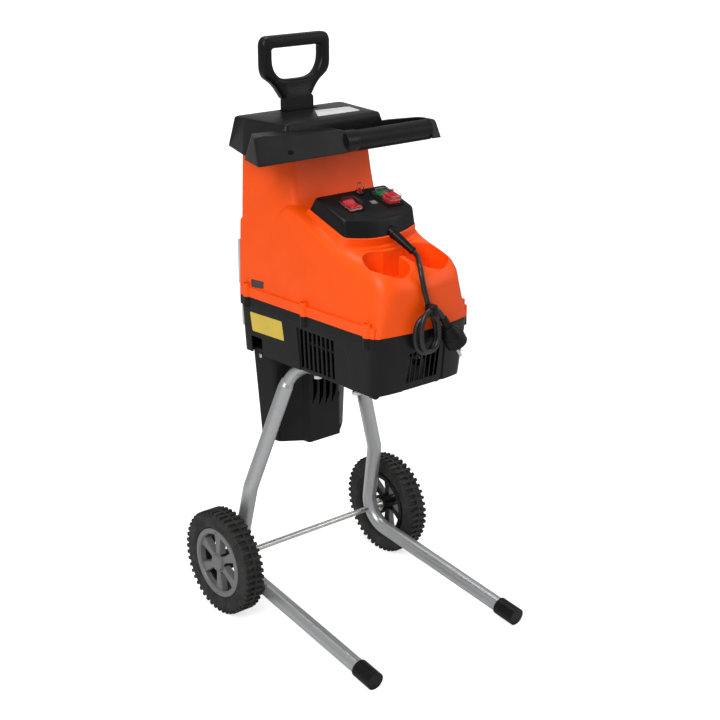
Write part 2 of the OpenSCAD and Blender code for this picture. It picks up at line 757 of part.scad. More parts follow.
module feed_funnel() {
    // liner of the hopper: wide under the collar, narrow over the cutter disc
    color(dark) from_axle() difference() { funnel_body(0); funnel_body(funnel_wall); }
}

// Outline of the handle, and of the hole through it, shrunk by g
function handle_plan(g) = let (hw = handle_w / 2 - g, z = plunger_z - g)
    soft([[hw - 7, z], [-hw + 7, z], [-hw, z - 8], [-hw, plunger_z - 62 + g],
        [-stem_w / 2 - 18 + g, plunger_z - 76 + g], [-stem_w / 2 - 1 + g, plunger_z - 100],
        [stem_w / 2 + 1 - g, plunger_z - 100], [stem_w / 2 + 18 - g, plunger_z - 76 + g],
        [hw, plunger_z - 62 + g], [hw, z - 8]], [8, 8, 6, 14, 22, 0.5, 0.5, 22, 14, 6]);
function hole_plan(g) = let (hw = handle_w / 2 - 18.5 + g, z = plunger_z - 19.5 + g)
    soft([[hw, z], [-hw, z], [-hw, plunger_z - 50], [-hw + 18, plunger_z - 70 - g],
        [hw - 18, plunger_z - 70 - g], [hw, plunger_z - 50]], [6, 6, 20, 20, 20, 20]);

// A flat ring in the upright plane at depth y
function upright(pts, y) = [for (p = pts) [p[0], y, p[1]]];

module plunger() {
    y1 = plunger_y - stem_t / 2 + 5 + handle_t;   // back of the handle
    round_steps = [[0, 4.5], [1.5, 2], [4.5, 0.3], [7, 0]];
    steps = concat(round_steps, [for (i = [3:-1:0])
        [handle_t - round_steps[i][0], round_steps[i][1]]]);
    color(black) from_axle() {
        difference() {
            loft([for (t = steps) upright(handle_plan(t[1]), y1 - t[0])]);
            loft([for (i = [-1:len(steps)]) let (t = steps[max(0, min(len(steps) - 1, i))],
                    e = i < 0 ? -cut : i == len(steps) ? cut : 0)
                upright(hole_plan(t[1]), y1 - t[0] - e)]);
        }
        // the stem, with a web that runs up into the handle
        translate([0, plunger_y + stem_t / 2, 0]) rotate([90, 0, 0]) linear_extrude(stem_t)
            polygon([[-stem_w / 2, foot_top - 2], [stem_w / 2, foot_top - 2],
                [stem_w / 2, plunger_z - 99], [-stem_w / 2, plunger_z - 99]]);
        // the top of the stem slopes back to the handle
        hull() {
            translate([-stem_w / 2, plunger_y - stem_t / 2, plunger_z - 99.5])
                cube([stem_w, stem_t, 0.5]);
            translate([-14, y1 - handle_t + 3, plunger_z - 82]) cube([28, 4, 0.5]);
        }
        // the hollow foot, which fills the feed slot
        translate([-slot_hw + gap, plunger_y - slot_t / 2 + gap, foot_low]) difference() {
            cube([slot_w - 2 * gap, slot_t - 2 * gap, foot_top - foot_low]);
            translate([wall, wall, -cut]) cube([slot_w - 2 * gap - 2 * wall,
                slot_t - 2 * gap - 2 * wall, foot_top - foot_low - wall + cut]);
        }
    }
}

// ------------------------------------------------------------------ controls

function box_plan(hw, v0, v1, bow) = soft(whole([[hw * 0.42, -v1 - bow], [hw, -v1],
    [hw, -v0]]), [22, 7, 5, 5, 7, 22], 3);

module panel_shape(g, n0, n1) {
    // distance in from the foot at the sides, the back and the front, at each height
    loft([for (s = [[n0, 0, 0, 0], [panel_h * 0.75, panel_in, 4, 9],
            [panel_h * 0.9 + g / 2, panel_in + 0.4, 5, 10.8],
            [panel_h * 0.97 + g, panel_in + 1.2, 6, 12], [n1, panel_in + 3.2, 8, 14]])
        at_z(box_plan(panel_half_w - s[1] + g, s[2] - g, panel_len - s[3] + g,
            panel_bow - s[3] * 0.2), s[0])]);
}

rocker_at = [-30.5, 46];
start_stop_at = [43, 44.5];
reset_at = [9, 16];
rocker_size = [20, 24];
start_size = [20, 16];
stop_size = [20, 18];

module at_rocker() { on_panel(rocker_at[1], panel_h) translate([rocker_at[0], 0, 0])
    children(); }
module at_start_stop() { on_panel(start_stop_at[1], panel_h)
    translate([start_stop_at[0], 0, 0]) children(); }
module at_reset() { on_panel(reset_at[1], panel_h) translate([reset_at[0], 0, 0])
    children(); }

module block(w, l, h) { translate([-w / 2, -l / 2, 0]) cube([w, l, h]); }

module control_box() {
    color(black) from_axle() difference() {
        on_panel() panel_shape(0, 0, panel_h);
        on_panel() panel_shape(-wall, -cut, panel_h - wall);
        // windows for the switches
        at_rocker() translate([0, 0, -10]) block(rocker_size[0] + 6, rocker_size[1] + 6, 20);
        at_start_stop() translate([0, 0, -10]) block(26, 42, 20);
        at_reset() translate([0, 0, -10]) cylinder(d = 11, h = 20);
        relief_hole();
    }
}

module switch_panel() {
    // the switch bodies that fill the windows, with wells for the moving caps
    color(dark) from_axle() {
        at_rocker() difference() {
            union() {
                translate([0, 0, -9]) block(rocker_size[0] + 5.4, rocker_size[1] + 5.4, 9);
                block(29, 31, 2);
            }
            translate([0, 0, -6]) block(rocker_size[0] + 0.8, rocker_size[1] + 0.8, 12);
            rotate([0, 90, 0]) translate([0, 0, -12]) cylinder(d = 3, h = 24);
        }
        at_start_stop() difference() {
            union() {
                translate([0, 0, -9]) block(25.4, 41.4, 9);
                block(31, 46, 2);
            }
            translate([0, 10, -6]) block(start_size[0] + 0.8, start_size[1] + 0.8, 12);
            translate([0, -9, -6]) block(stop_size[0] + 0.8, stop_size[1] + 0.8, 12);
        }
        at_reset() difference() {
            translate([0, 0, -9]) union() {
                cylinder(d = 10.4, h = 9);
                translate([0, 0, 9]) cylinder(d = 16, h = 3, $fn = 6);
            }
            translate([0, 0, -7]) cylinder(d = 6.4, h = 12);
        }
    }
}

module rocker_switch() {
    color(red) from_axle() at_rocker() {
        difference() {
            translate([0, 0, -4.5]) block(rocker_size[0], rocker_size[1], 9.5);
            // the dished top of the rocker
            translate([0, 0, 26]) rotate([0, 90, 0]) translate([0, 0, -20])
                cylinder(r = 23, h = 40, $fn = 64);
            // the underside is cut away so that it can tilt
            for (s = [-1, 1]) translate([0, s * 12, -4.5]) rotate([s * 14, 0, 0])
                translate([0, 0, -2.6]) block(30, 22, 4);
        }
        rotate([0, 90, 0]) translate([0, 0, -11]) cylinder(d = 3 - 2 * run, h = 22);
    }
}

module start_button() {
    color(green) from_axle() at_start_stop() translate([0, 10, -3])
        block(start_size[0], start_size[1], 8);
}

module stop_button() {
    color(red) from_axle() at_start_stop() translate([0, -9, -3])
        block(stop_size[0], stop_size[1], 15);
}

module reset_button() {
    color(red) from_axle() at_reset() translate([0, 0, -4]) cylinder(d = 6.2, h = 12);
}

// A clear cap of wall t over a box of the given size
module clear_cap(w, l, h, t, lip) {
    difference() {
        union() {
            loft([at_z(soft([[w / 2, -l / 2], [w / 2, l / 2], [-w / 2, l / 2],
                    [-w / 2, -l / 2]], 3, 3), 0),
                at_z(soft([[w / 2 - 1.5, -l / 2 + 1.5], [w / 2 - 1.5, l / 2 - 1.5],
                    [-w / 2 + 1.5, l / 2 - 1.5], [-w / 2 + 1.5, -l / 2 + 1.5]], 3, 3), h)]);
            block(w + 2 * lip, l + 2 * lip, 1.2);
        }
        translate([0, 0, -cut]) block(w - 2 * t - 2, l - 2 * t - 2, h - t + cut);
    }
}

module rocker_cover() {
    color(clear) from_axle() at_rocker() translate([0, 0, 2]) clear_cap(26, 29, 8.5, 0.8, 1);
}

module start_stop_cover() {
    color(clear) from_axle() at_start_stop() translate([0, 0, 2]) difference() {
        union() {
            clear_cap(27, 42, 7, 0.8, 1);
            translate([0, -9, 0]) clear_cap(26, 24, 14.5, 0.8, 0);
        }
        translate([0, -9, -cut]) block(stop_size[0] + 1.4, stop_size[1] + 1.4, 14.4);
        translate([0, 4, -cut]) block(22, 32, 7);
    }
}

module reset_cap() {
    color(clear) from_axle() at_reset() translate([0, 0, 3]) difference() {
        cylinder(d = 12, h = 13);
        translate([0, 0, -cut]) cylinder(d = 9.6, h = 13);
    }
}

// Hole for the strain relief, wider where its flange lies
module relief_hole() {
    axis = unit(relief_end - relief_start);
    bar(relief_start - axis * 30, relief_start + axis * 2, 12 + 2 * gap);
    bar(relief_start + axis * 0.7, relief_end, 17 + 2 * gap);
}

module strain_relief() {
    axis = unit(relief_end - relief_start);
    color(dark) from_axle() difference() {
        union() {
            bar(relief_start - axis * 8, relief_start + axis * 2, 12);
            bar(relief_start + axis * 1, relief_start + axis * 5, 17);
            translate(relief_start + axis * 4)
                rotate([0, acos(axis[2]), atan2(axis[1], axis[0])])
                    cylinder(d1 = 15, d2 = cord_d + 2.5, h = norm(relief_end - relief_start) - 4);
            bar(relief_end - axis * 4, relief_end, cord_d + 4);
        }
    }
}

module mains_cord() {
    color(dark) from_axle() {
        lead(curve(lead_points, 2), cord_d);
        lead(curve(tail_points, 2), cord_d);
    }
}

module cord_hank() {
    // the outer shape of the folded lead
    color(dark) from_axle() translate([tie_at[0] - 1, tie_at[1] + hank_t / 2, tie_at[2]])
        rotate([90, 0, 0]) linear_extrude(hank_t) difference() {
            hull() {
                translate([0, -11]) circle(r = 11);
                translate([0, -hank_h + hank_w / 2]) circle(r = hank_w / 2);
            }
        }
}

module cord_tie() {
    color(dark) from_axle() translate([tie_at[0] - tie_size[0] / 2,
        tie_at[1] - tie_size[1] / 2, tie_at[2]]) cube(tie_size);
}

module on_plug() {
    from_axle() translate(plug_at)
        rotate([0, acos(plug_axis[2] / norm(plug_axis)), atan2(plug_axis[1], plug_axis[0])])
            rotate([0, 0, plug_turn]) children();
}

module plug() {
    color(dark) on_plug() {
        cylinder(d1 = cord_d + 3, d2 = 13, h = 18);
        translate([0, 0, 18]) cylinder(d1 = 18, d2 = 33, h = 18);
        translate([0, 0, 36]) cylinder(d = 35, h = plug_l - 36);
    }
}

module plug_pins() {
    color(zinc) on_plug() for (s = [-1, 1])
        translate([0, s * 9.5, plug_l]) cylinder(d = 4.8, h = 19);
}

// ------------------------------------------------------------------ stand

module leg() {
    difference() {
        bent_bar(leg_path, tube_d, tube_bend_r);
        bent_bar([leg_top + unit(leg_top - knee) * cut, knee, heel_end,
            leg_path[3] + foot_dir * cut], tube_d - 2 * tube_wall, tube_bend_r);
        // the axle passes through both walls
        translate([heel[0] - tube_d, 0, wheel_r]) rotate([0, 90, 0])
            cylinder(d = axle_d + 2 * run, h = 2 * tube_d);
    }
}

// A top rail: it lies under the housing, bends down and plugs into the leg. The bend is
// thicker than the run under the housing, and a cone joins them
module rail() {
    axis = unit(leg_top - knee);
    difference() {
        union() {
            bar([rail_half_w, rail_front, rail_z], [rail_half_w, turn_y + 1, rail_z], rail_d);
            translate([rail_half_w, turn_y - 14, rail_z]) rotate([-90, 0, 0])
                cylinder(d1 = rail_d, d2 = bend_d, h = 15);
            bent_bar([[rail_half_w, turn_y, rail_z], rail_corner, leg_top], bend_d,
                rail_bend_r);
            bar(leg_top - axis * spigot_l, leg_top + axis * 2, tube_d - 2 * tube_wall - 2 * run);
            translate(leg_top) rotate([0, acos(axis[2]), atan2(axis[1], axis[0])])
                cylinder(d1 = tube_d, d2 = bend_d, h = 12);
        }
        for (y = bolt_y) translate([rail_half_w, y, rail_z - 30])
            cylinder(d = bolt_d + 2 * run, h = 60);
    }
}

module left_rail() { color(silver) from_axle() mirror([1, 0, 0]) rail(); }
module right_rail() { color(silver) from_axle() rail(); }

module left_leg() { color(silver) from_axle() mirror([1, 0, 0]) leg(); }
module right_leg() { color(silver) from_axle() leg(); }

module foot_caps() {
    color(dark) from_axle() pair() difference() {
        bar(foot_end - foot_dir * foot_cap_l, foot_end, foot_cap_d);
        bar(foot_end - foot_dir * (foot_cap_l + cut), foot_end - foot_dir * 3,
            tube_d + 2 * run);
    }
}

module rail_caps() {
    color(dark) from_axle() pair() translate([rail_half_w, rail_front, rail_z])
        rotate([90, 0, 0]) {
            cylinder(d = rail_d, h = 10);
            translate([0, 0, 10]) cylinder(d1 = rail_d, d2 = rail_d - 5, h = 2);
        }
}

module rail_bolts() {
    color(zinc) from_axle() pair() for (y = bolt_y)
        translate([rail_half_w, y, rail_z - rail_d / 2 - 5]) {
            cylinder(d = 14, h = 5, $fn = 6);
            cylinder(d = bolt_d, h = 5 + rail_d + floor_t + 9);
        }
}

module rail_nuts() {
    color(zinc) from_axle() pair() for (y = bolt_y)
        translate([rail_half_w, y, floor_z + floor_t]) difference() {
            cylinder(d = 14, h = 6, $fn = 6);
            translate([0, 0, -cut]) cylinder(d = bolt_d, h = 8);
        }
}

module axle() {
    color(zinc) from_axle() translate([2 - wheel_out, 0, wheel_r]) rotate([0, 90, 0])
        cylinder(d = axle_d, h = track_w - 4);
}

module axle_washers() {
    color(zinc) from_axle() pair() translate([wheel_in - washer_t - 0.1, 0, wheel_r])
        rotate([0, 90, 0]) difference() {
            cylinder(d = 24, h = washer_t);
            translate([0, 0, -cut]) cylinder(d = axle_d, h = 5);
        }
}

// One spoke, narrow at the hub and wide at the rim, in the wheel's plane
module spoke() {
    polygon([[hub_r - 3, -6], [hub_r + 8, -5], [rim_d / 2 - 16, -7.5], [rim_d / 2 - 5, -11],
        [rim_d / 2 - 5, 11], [rim_d / 2 - 16, 7.5], [hub_r + 8, 5], [hub_r - 3, 6]]);
}

module rim() {
    // in the wheel's own frame: the axle along +Z, the outer face at wheel_w
    difference() {
        union() {
            rotate_extrude($fn = 96) polygon([[rim_d / 2 - 9, 1], [rim_d / 2 - 4, 0],
                [rim_d / 2, 0], [rim_d / 2, wheel_w - 1], [rim_d / 2 - 3, wheel_w],
                [rim_d / 2 - 8, wheel_w], [rim_d / 2 - 10, wheel_w - 3],
                [rim_d / 2 - 7, wheel_w - 14], [rim_d / 2 - 7, 12]]);
            translate([0, 0, 0.2]) cylinder(r = hub_r, h = wheel_w - 4);
            for (i = [0:spoke_count - 1]) rotate([0, 0, 90 + i * 360 / spoke_count])
                translate([0, 0, wheel_w - 4 - spoke_t]) linear_extrude(spoke_t) spoke();
        }
        translate([0, 0, -cut]) cylinder(d = axle_d + 2 * run, h = wheel_w + 2);
        // two small notches in the rim's face
        for (a = [0, 180]) rotate([0, 0, a]) translate([-2, rim_d / 2 - 6, wheel_w - 1])
            cube([4, 3, 3]);
    }
}

// One row of the tread: a wheel with lugs
function lugs(r, n, turn) = [for (i = [0:n - 1]) for (c = [[0, -lug_depth], [0.12, 0],
    [0.60, 0], [0.72, -lug_depth]]) let (a = 360 / n * (i + c[0]) + turn)
    [(r + c[1]) * cos(a), (r + c[1]) * sin(a)]];

module tyre() {
    row = wheel_w / 2 - 1.2;
    difference() {
        union() {
            translate([0, 0, 3]) linear_extrude(row - 3)
                polygon(lugs(wheel_r, lug_count, 0));
            translate([0, 0, wheel_w / 2 + 1.2]) linear_extrude(row - 3)
                polygon(lugs(wheel_r, lug_count, 180 / lug_count));
            rotate_extrude($fn = 96) polygon([[rim_d / 2 - 2, 0.6], [rim_d / 2 + 6, 0],
                [wheel_r * 0.88, 0.4], [wheel_r - lug_depth, 4],
                [wheel_r - lug_depth, wheel_w - 4], [wheel_r * 0.88, wheel_w - 0.4],
                [rim_d / 2 + 6, wheel_w], [rim_d / 2 - 2, wheel_w - 0.6]]);
        }
        translate([0, 0, -cut]) cylinder(d = rim_d, h = wheel_w + 2, $fn = 96);
    }
}

module on_wheel() {
    from_axle() translate([wheel_in, 0, wheel_r]) rotate([90, 0, 90]) children();
}
module on_left_wheel() {
    from_axle() mirror([1, 0, 0]) translate([wheel_in, 0, wheel_r]) rotate([90, 0, 90])
        children();
}

module left_rim() { color(rim_grey) on_left_wheel() rim(); }
module right_rim() { color(rim_grey) on_wheel() rim(); }
module left_tyre() { color(rubber) on_left_wheel() tyre(); }
module right_tyre() { color(rubber) on_wheel() tyre(); }

module hub_cap() {
    translate([0, 0, wheel_w - 4 + 0.2]) difference() {
        cylinder(r1 = 15, r2 = 13.5, h = 4);
        translate([0, 0, -cut]) cylinder(d = axle_d + 0.8, h = 3.4);
    }
}

module left_hub_cap() { color(rim_grey) on_left_wheel() hub_cap(); }
module right_hub_cap() { color(rim_grey) on_wheel() hub_cap(); }

// ------------------------------------------------------------------ chute

// Plan of the chute: a wide box at the back with a narrower box in front of it
function chute_plan(hw_b, hw_f, g, nose) = soft(whole([[chute_nose_hw + g, nose - g],
    [chute_nose_hw + 1.5 + g, -34 - g], [hw_f + g, chute_side_front - 2 - g],
    [hw_b + g, chute_back + g]]), [4, 2, 5, 4, 4, 5, 2, 4], 2);

module chute_body(g) {
    e = g < 0 ? cut : 0;
    loft([at_z(chute_plan(chute_half_w, chute_half_w - 5, g, chute_nose_y), chute_z - e),
        at_z(chute_plan(chute_half_w + 14, chute_half_w + 4, g, chute_nose_y + 3),
            floor_z - gap + e)]);
}

// A slot of the chute's nose: it hooks to one side and ends in a point at its foot
module gill(x, z) {
    translate([x, 0, z]) rotate([90, 0, 0]) linear_extrude(12)
        polygon(soft([[-7, -2], [-2, 3], [4.5, 16], [5, 70], [-4.5, 70], [-4, 16]],
            [0.5, 5, 10, 0.5, 0.5, 8], 3));
}

module discharge_chute() {
    neck_hw = chute_half_w - 1;
    neck_y = chute_side_front + 1;
    color(black) from_axle() difference() {
        union() {
            chute_body(0);
            // neck through the floor up to the bearing plate
            translate([-neck_hw, neck_y, floor_z - 8])
                cube([2 * neck_hw, chute_back - 2 - neck_y, chute_top - floor_z + 8]);
        }
        difference() {
            chute_body(-chute_wall);
            // the roof, which closes the nose under the housing's floor
            translate([-120, -80, floor_z - gap - chute_wall]) cube([240, 140, 40]);
        }
        translate([-neck_hw + chute_wall, neck_y + chute_wall, floor_z - 20])
            cube([2 * (neck_hw - chute_wall), chute_back - 2 - neck_y - 2 * chute_wall, 100]);
        for (i = [-2:2]) translate([0, chute_nose_y + 6, 0])
            gill(8 + i * 13.6, 341 + 2 * i * i);
    }
}

module chute_screws() {
    color(zinc) from_axle() for (s = [-1, 1])
        translate([s * (chute_half_w + 11.7), 12, floor_z - 12]) rotate([0, s * 90, 0])
            screw(8, 2.5, seam_screw_d, 2.4);
}

// ------------------------------------------------------------------ cutting unit

module bearing_plate() {
    color(steel) from_axle() difference() {
        union() {
            translate([0, 0, plate_z]) linear_extrude(plate_t)
                polygon([[-82, front_y + 18], [82, front_y + 18], [88, -14], [-88, -14]]);
            translate([0, disc_y, plate_z - 12]) cylinder(d = 34, h = 12);
        }
        translate([0, disc_y, plate_z - 20]) cylinder(d = spindle_d + 2 * run, h = 40);
        translate([0, motor_y, plate_z - 20]) cylinder(d = 22, h = 40);
    }
}

module motor() {
    color(steel) from_axle() translate([0, motor_y, plate_top]) difference() {
        union() {
            cylinder(d = motor_d, h = motor_h);
            translate([0, 0, motor_h]) cylinder(d = 40, h = 10);
        }
        translate([0, 0, -cut]) cylinder(d = 21, h = 3 + cut);
        translate([0, 0, -cut]) cylinder(d = shaft_d + 2 * run, h = 60);
        for (i = [0:11]) rotate([0, 0, i * 30]) translate([motor_d / 2 - 6, -3, 20])
            cube([10, 6, motor_h - 40]);
    }
}

module motor_rotor() {
    color(zinc) from_axle() translate([0, motor_y, 0]) {
        translate([0, 0, pulley_z]) cylinder(d = shaft_d, h = plate_top + 55 - pulley_z);
        translate([0, 0, pulley_z]) cylinder(d = motor_pulley_d, h = pulley_t);
    }
}

module spindle() {
    color(zinc) from_axle() translate([0, disc_y, 0]) {
        translate([0, 0, pulley_z]) cylinder(d = spindle_d, h = disc_top + 4 - pulley_z);
        translate([0, 0, pulley_z]) cylinder(d = disc_pulley_d, h = pulley_t - 5);
        translate([0, 0, plate_top + gap]) cylinder(d = 30, h = disc_z - plate_top - gap);
    }
}

module cutter_disc() {
    color(steel) from_axle() translate([0, disc_y, disc_z]) difference() {
        cylinder(d = disc_d, h = disc_t, $fn = 96);
        translate([0, 0, -cut]) cylinder(d = spindle_d + 2 * run, h = disc_t + 2);
        for (a = [0, 180]) rotate([0, 0, a]) for (x = [38, 62])
            translate([x, 0, -cut]) cylinder(d = 6.1, h = disc_t + 2);
    }
}

module cutter_blades() {
    color(zinc) from_axle() translate([0, disc_y, disc_top]) for (a = [0, 180])
        rotate([0, 0, a]) difference() {
            translate([27, 0, 0]) rotate([90, 0, 90]) linear_extrude(46)
                polygon([[-14, 0], [14, 0], [11, blade_t], [-11, blade_t]]);
            for (x = [38, 62]) translate([x, 0, -cut]) cylinder(d = 6.1, h = 10);
        }
}

module blade_screws() {
    color(steel) from_axle() translate([0, disc_y, disc_top + blade_t]) for (a = [0, 180])
        rotate([0, 0, a]) for (x = [38, 62]) translate([x, 0, 0]) screw(10, 3, 6, blade_t
            + disc_t);
}

module counter_blade() {
    // fixed edge under the back of the funnel's mouth
    color(zinc) from_axle() translate([-45, funnel_back - 14, funnel_z - 2.4])
        cube([90, 12, 2.4]);
}

module drive_belt() {
    r_small = motor_pulley_d / 2 + gap;
    r_big = disc_pulley_d / 2 + gap;
    belt_t = 3;
    color(dark) from_axle() translate([0, 0, pulley_z + 1]) linear_extrude(pulley_t - 7)
        difference() {
            hull() {
                translate([0, motor_y]) circle(r = r_small + belt_t);
                translate([0, disc_y]) circle(r = r_big + belt_t);
            }
            hull() {
                translate([0, motor_y]) circle(r = r_small);
                translate([0, disc_y]) circle(r = r_big);
            }
        }
}

// ------------------------------------------------------------------ nodes

upper_housing();
lower_housing();
hopper_collar();
carry_grip();
feed_funnel();
plunger();
control_box();
switch_panel();
rocker_switch();
start_button();
stop_button();
reset_button();
rocker_cover();
start_stop_cover();
reset_cap();
strain_relief();
mains_cord();
cord_hank();
cord_tie();
plug();
plug_pins();
left_leg();
right_leg();
left_rail();
right_rail();
foot_caps();
rail_caps();
rail_bolts();
rail_nuts();
axle();
axle_washers();
left_rim();
right_rim();
left_tyre();
right_tyre();
left_hub_cap();
right_hub_cap();
discharge_chute();
chute_screws();
rear_cover();
rear_cover_screws();
seam_screws();
bearing_plate();
motor();
motor_rotor();
spindle();
cutter_disc();
cutter_blades();
blade_screws();
counter_blade();
drive_belt();
handle_screws();
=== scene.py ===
import json
import math

import bmesh
import bpy
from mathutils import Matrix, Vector
from mathutils.bvhtree import BVHTree


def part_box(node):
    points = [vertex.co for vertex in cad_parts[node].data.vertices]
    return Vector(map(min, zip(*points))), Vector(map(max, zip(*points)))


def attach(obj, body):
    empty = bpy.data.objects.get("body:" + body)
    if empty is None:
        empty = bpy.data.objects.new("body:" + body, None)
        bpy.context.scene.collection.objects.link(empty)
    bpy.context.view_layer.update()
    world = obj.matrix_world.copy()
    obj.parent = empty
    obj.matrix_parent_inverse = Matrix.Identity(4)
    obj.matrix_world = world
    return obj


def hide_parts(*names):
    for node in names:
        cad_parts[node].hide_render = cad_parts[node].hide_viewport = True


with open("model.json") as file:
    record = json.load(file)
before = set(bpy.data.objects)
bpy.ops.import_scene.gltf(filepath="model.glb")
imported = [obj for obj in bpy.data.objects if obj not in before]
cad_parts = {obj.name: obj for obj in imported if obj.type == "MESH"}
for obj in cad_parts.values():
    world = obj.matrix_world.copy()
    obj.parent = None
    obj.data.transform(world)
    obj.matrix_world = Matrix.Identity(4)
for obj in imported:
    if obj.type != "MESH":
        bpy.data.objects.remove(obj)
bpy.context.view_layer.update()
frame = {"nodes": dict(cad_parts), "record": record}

bl_info = {
    "name": "Garden Shredder",
    "version": (1, 0, 0),
    "blender": (4, 5, 0),
    "location": "View3D > Sidebar > Shredder",
    "description": "Builds the pieces and finishes of an electric garden shredder over its frame",
    "category": "Add Mesh",
}

NODES = frame["nodes"]
BODY_OF = {node: body for body, nodes in frame["record"]["behaviour"]["bodies"].items()
           for node in nodes}
AXLE_Y = sum(c[1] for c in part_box("axle")) / 2
MM = 0.001
WELD = 0.005 * MM           # points closer than this are one
SLIVER = 0.15 * MM          # faces thinner than this don't say where an edge is
FOLD = math.radians(150)    # a face turned by more than this lies back on its neighbour
NO_AREA = 1e-7              # faces smaller than this, in square metres, are left alone
PROBE = 50 * MM             # how far outside a node its surface is looked for
PLATE_SINK = 0.3 * MM       # how far plates reach into what they are stuck on


def from_axle(x, y, z):
    """A place measured in mm from the wheel axle, as a point of the frame in metres."""
    return Vector((x * MM, y * MM + AXLE_Y, z * MM))


# ------------------------------------------------------------------ sizes and colours

class ShredderSizes(bpy.types.PropertyGroup):
    lead_d: bpy.props.FloatProperty(
        name="Lead diameter", description="Diameter of the mains lead",
        default=0.0085, unit="LENGTH")
    edge_r: bpy.props.FloatProperty(
        name="Moulded edge", description="Radius that moulded edges catch the light with",
        default=0.0011, unit="LENGTH")
    metal_edge_r: bpy.props.FloatProperty(
        name="Metal edge", description="Radius of the edges of metal pieces",
        default=0.0004, unit="LENGTH")
    grain: bpy.props.FloatProperty(
        name="Grain", description="Size of the grain moulded into the black shells",
        default=0.0009, unit="LENGTH")
    lug_count: bpy.props.IntProperty(
        name="Lugs", description="Number of lugs in each row of the tread", default=48)
    lug_depth: bpy.props.FloatProperty(
        name="Lug depth", description="Depth of the tread", default=0.0034, unit="LENGTH")
    spoke_depth: bpy.props.FloatProperty(
        name="Spoke depth", description="How far the ribs of the spokes reach into the rim",
        default=0.010, unit="LENGTH")
    screw_head: bpy.props.FloatProperty(
        name="Screw head", description="Diameter of the heads of the screws",
        default=0.0076, unit="LENGTH")
    plate_t: bpy.props.FloatProperty(
        name="Plate thickness", description="Thickness of the bare stuck-on plates",
        default=0.0004, unit="LENGTH")
    lens: bpy.props.FloatProperty(
        name="Lens", description="Focal length of the camera", default=73.43)


class ShredderColours(bpy.types.PropertyGroup):
    orange: bpy.props.FloatVectorProperty(
        name="Orange", description="Upper housing", subtype="COLOR",
        default=(0.95, 0.088, 0.0015))
    black: bpy.props.FloatVectorProperty(
        name="Black", description="Black shells", subtype="COLOR",
        default=(0.0065, 0.0065, 0.0068))
    dark: bpy.props.FloatVectorProperty(
        name="Dark", description="Small dark mouldings", subtype="COLOR",
        default=(0.006, 0.006, 0.0062))
    red: bpy.props.FloatVectorProperty(
        name="Red", description="Rocker, stop and reset buttons", subtype="COLOR",
        default=(0.50, 0.006, 0.012))
    green: bpy.props.FloatVectorProperty(
        name="Green", description="Start button", subtype="COLOR",
        default=(0.008, 0.16, 0.045))
    tube: bpy.props.FloatVectorProperty(
        name="Tube", description="Powder coat of the stand", subtype="COLOR",
        default=(0.46, 0.465, 0.47))
    wheel: bpy.props.FloatVectorProperty(
        name="Wheel", description="Rims and hub caps", subtype="COLOR",
        default=(0.15, 0.152, 0.15))
    yellow: bpy.props.FloatVectorProperty(
        name="Yellow", description="Plain plate on the side", subtype="COLOR",
        default=(0.66, 0.47, 0.035))


def sizes():
    return bpy.context.scene.shredder_sizes


def colours():
    return bpy.context.scene.shredder_colours


# ------------------------------------------------------------------ finishes

class ShaderTree:
    """The empty node tree of a material or a world, and what adds to it."""

    def __init__(self, owner):
        owner.use_nodes = True
        self.tree = owner.node_tree
        self.tree.nodes.clear()

    def node(self, kind, **settings):
        n = self.tree.nodes.new(kind)
        for key, value in settings.items():
            if key in n.inputs:
                n.inputs[key].default_value = value
            else:
                setattr(n, key, value)
        return n

    def link(self, a, out, b, into):
        self.tree.links.new(a.outputs[out], b.inputs[into])

    def ramp(self, source, out, low, high, a, b):
        """A value from low to high drawn out to go from a to b."""
        r = self.node("ShaderNodeMapRange")
        for key, value in (("From Min", low), ("From Max", high), ("To Min", a), ("To Max", b)):
            r.inputs[key].default_value = value
        self.link(source, out, r, "Value")
        return r


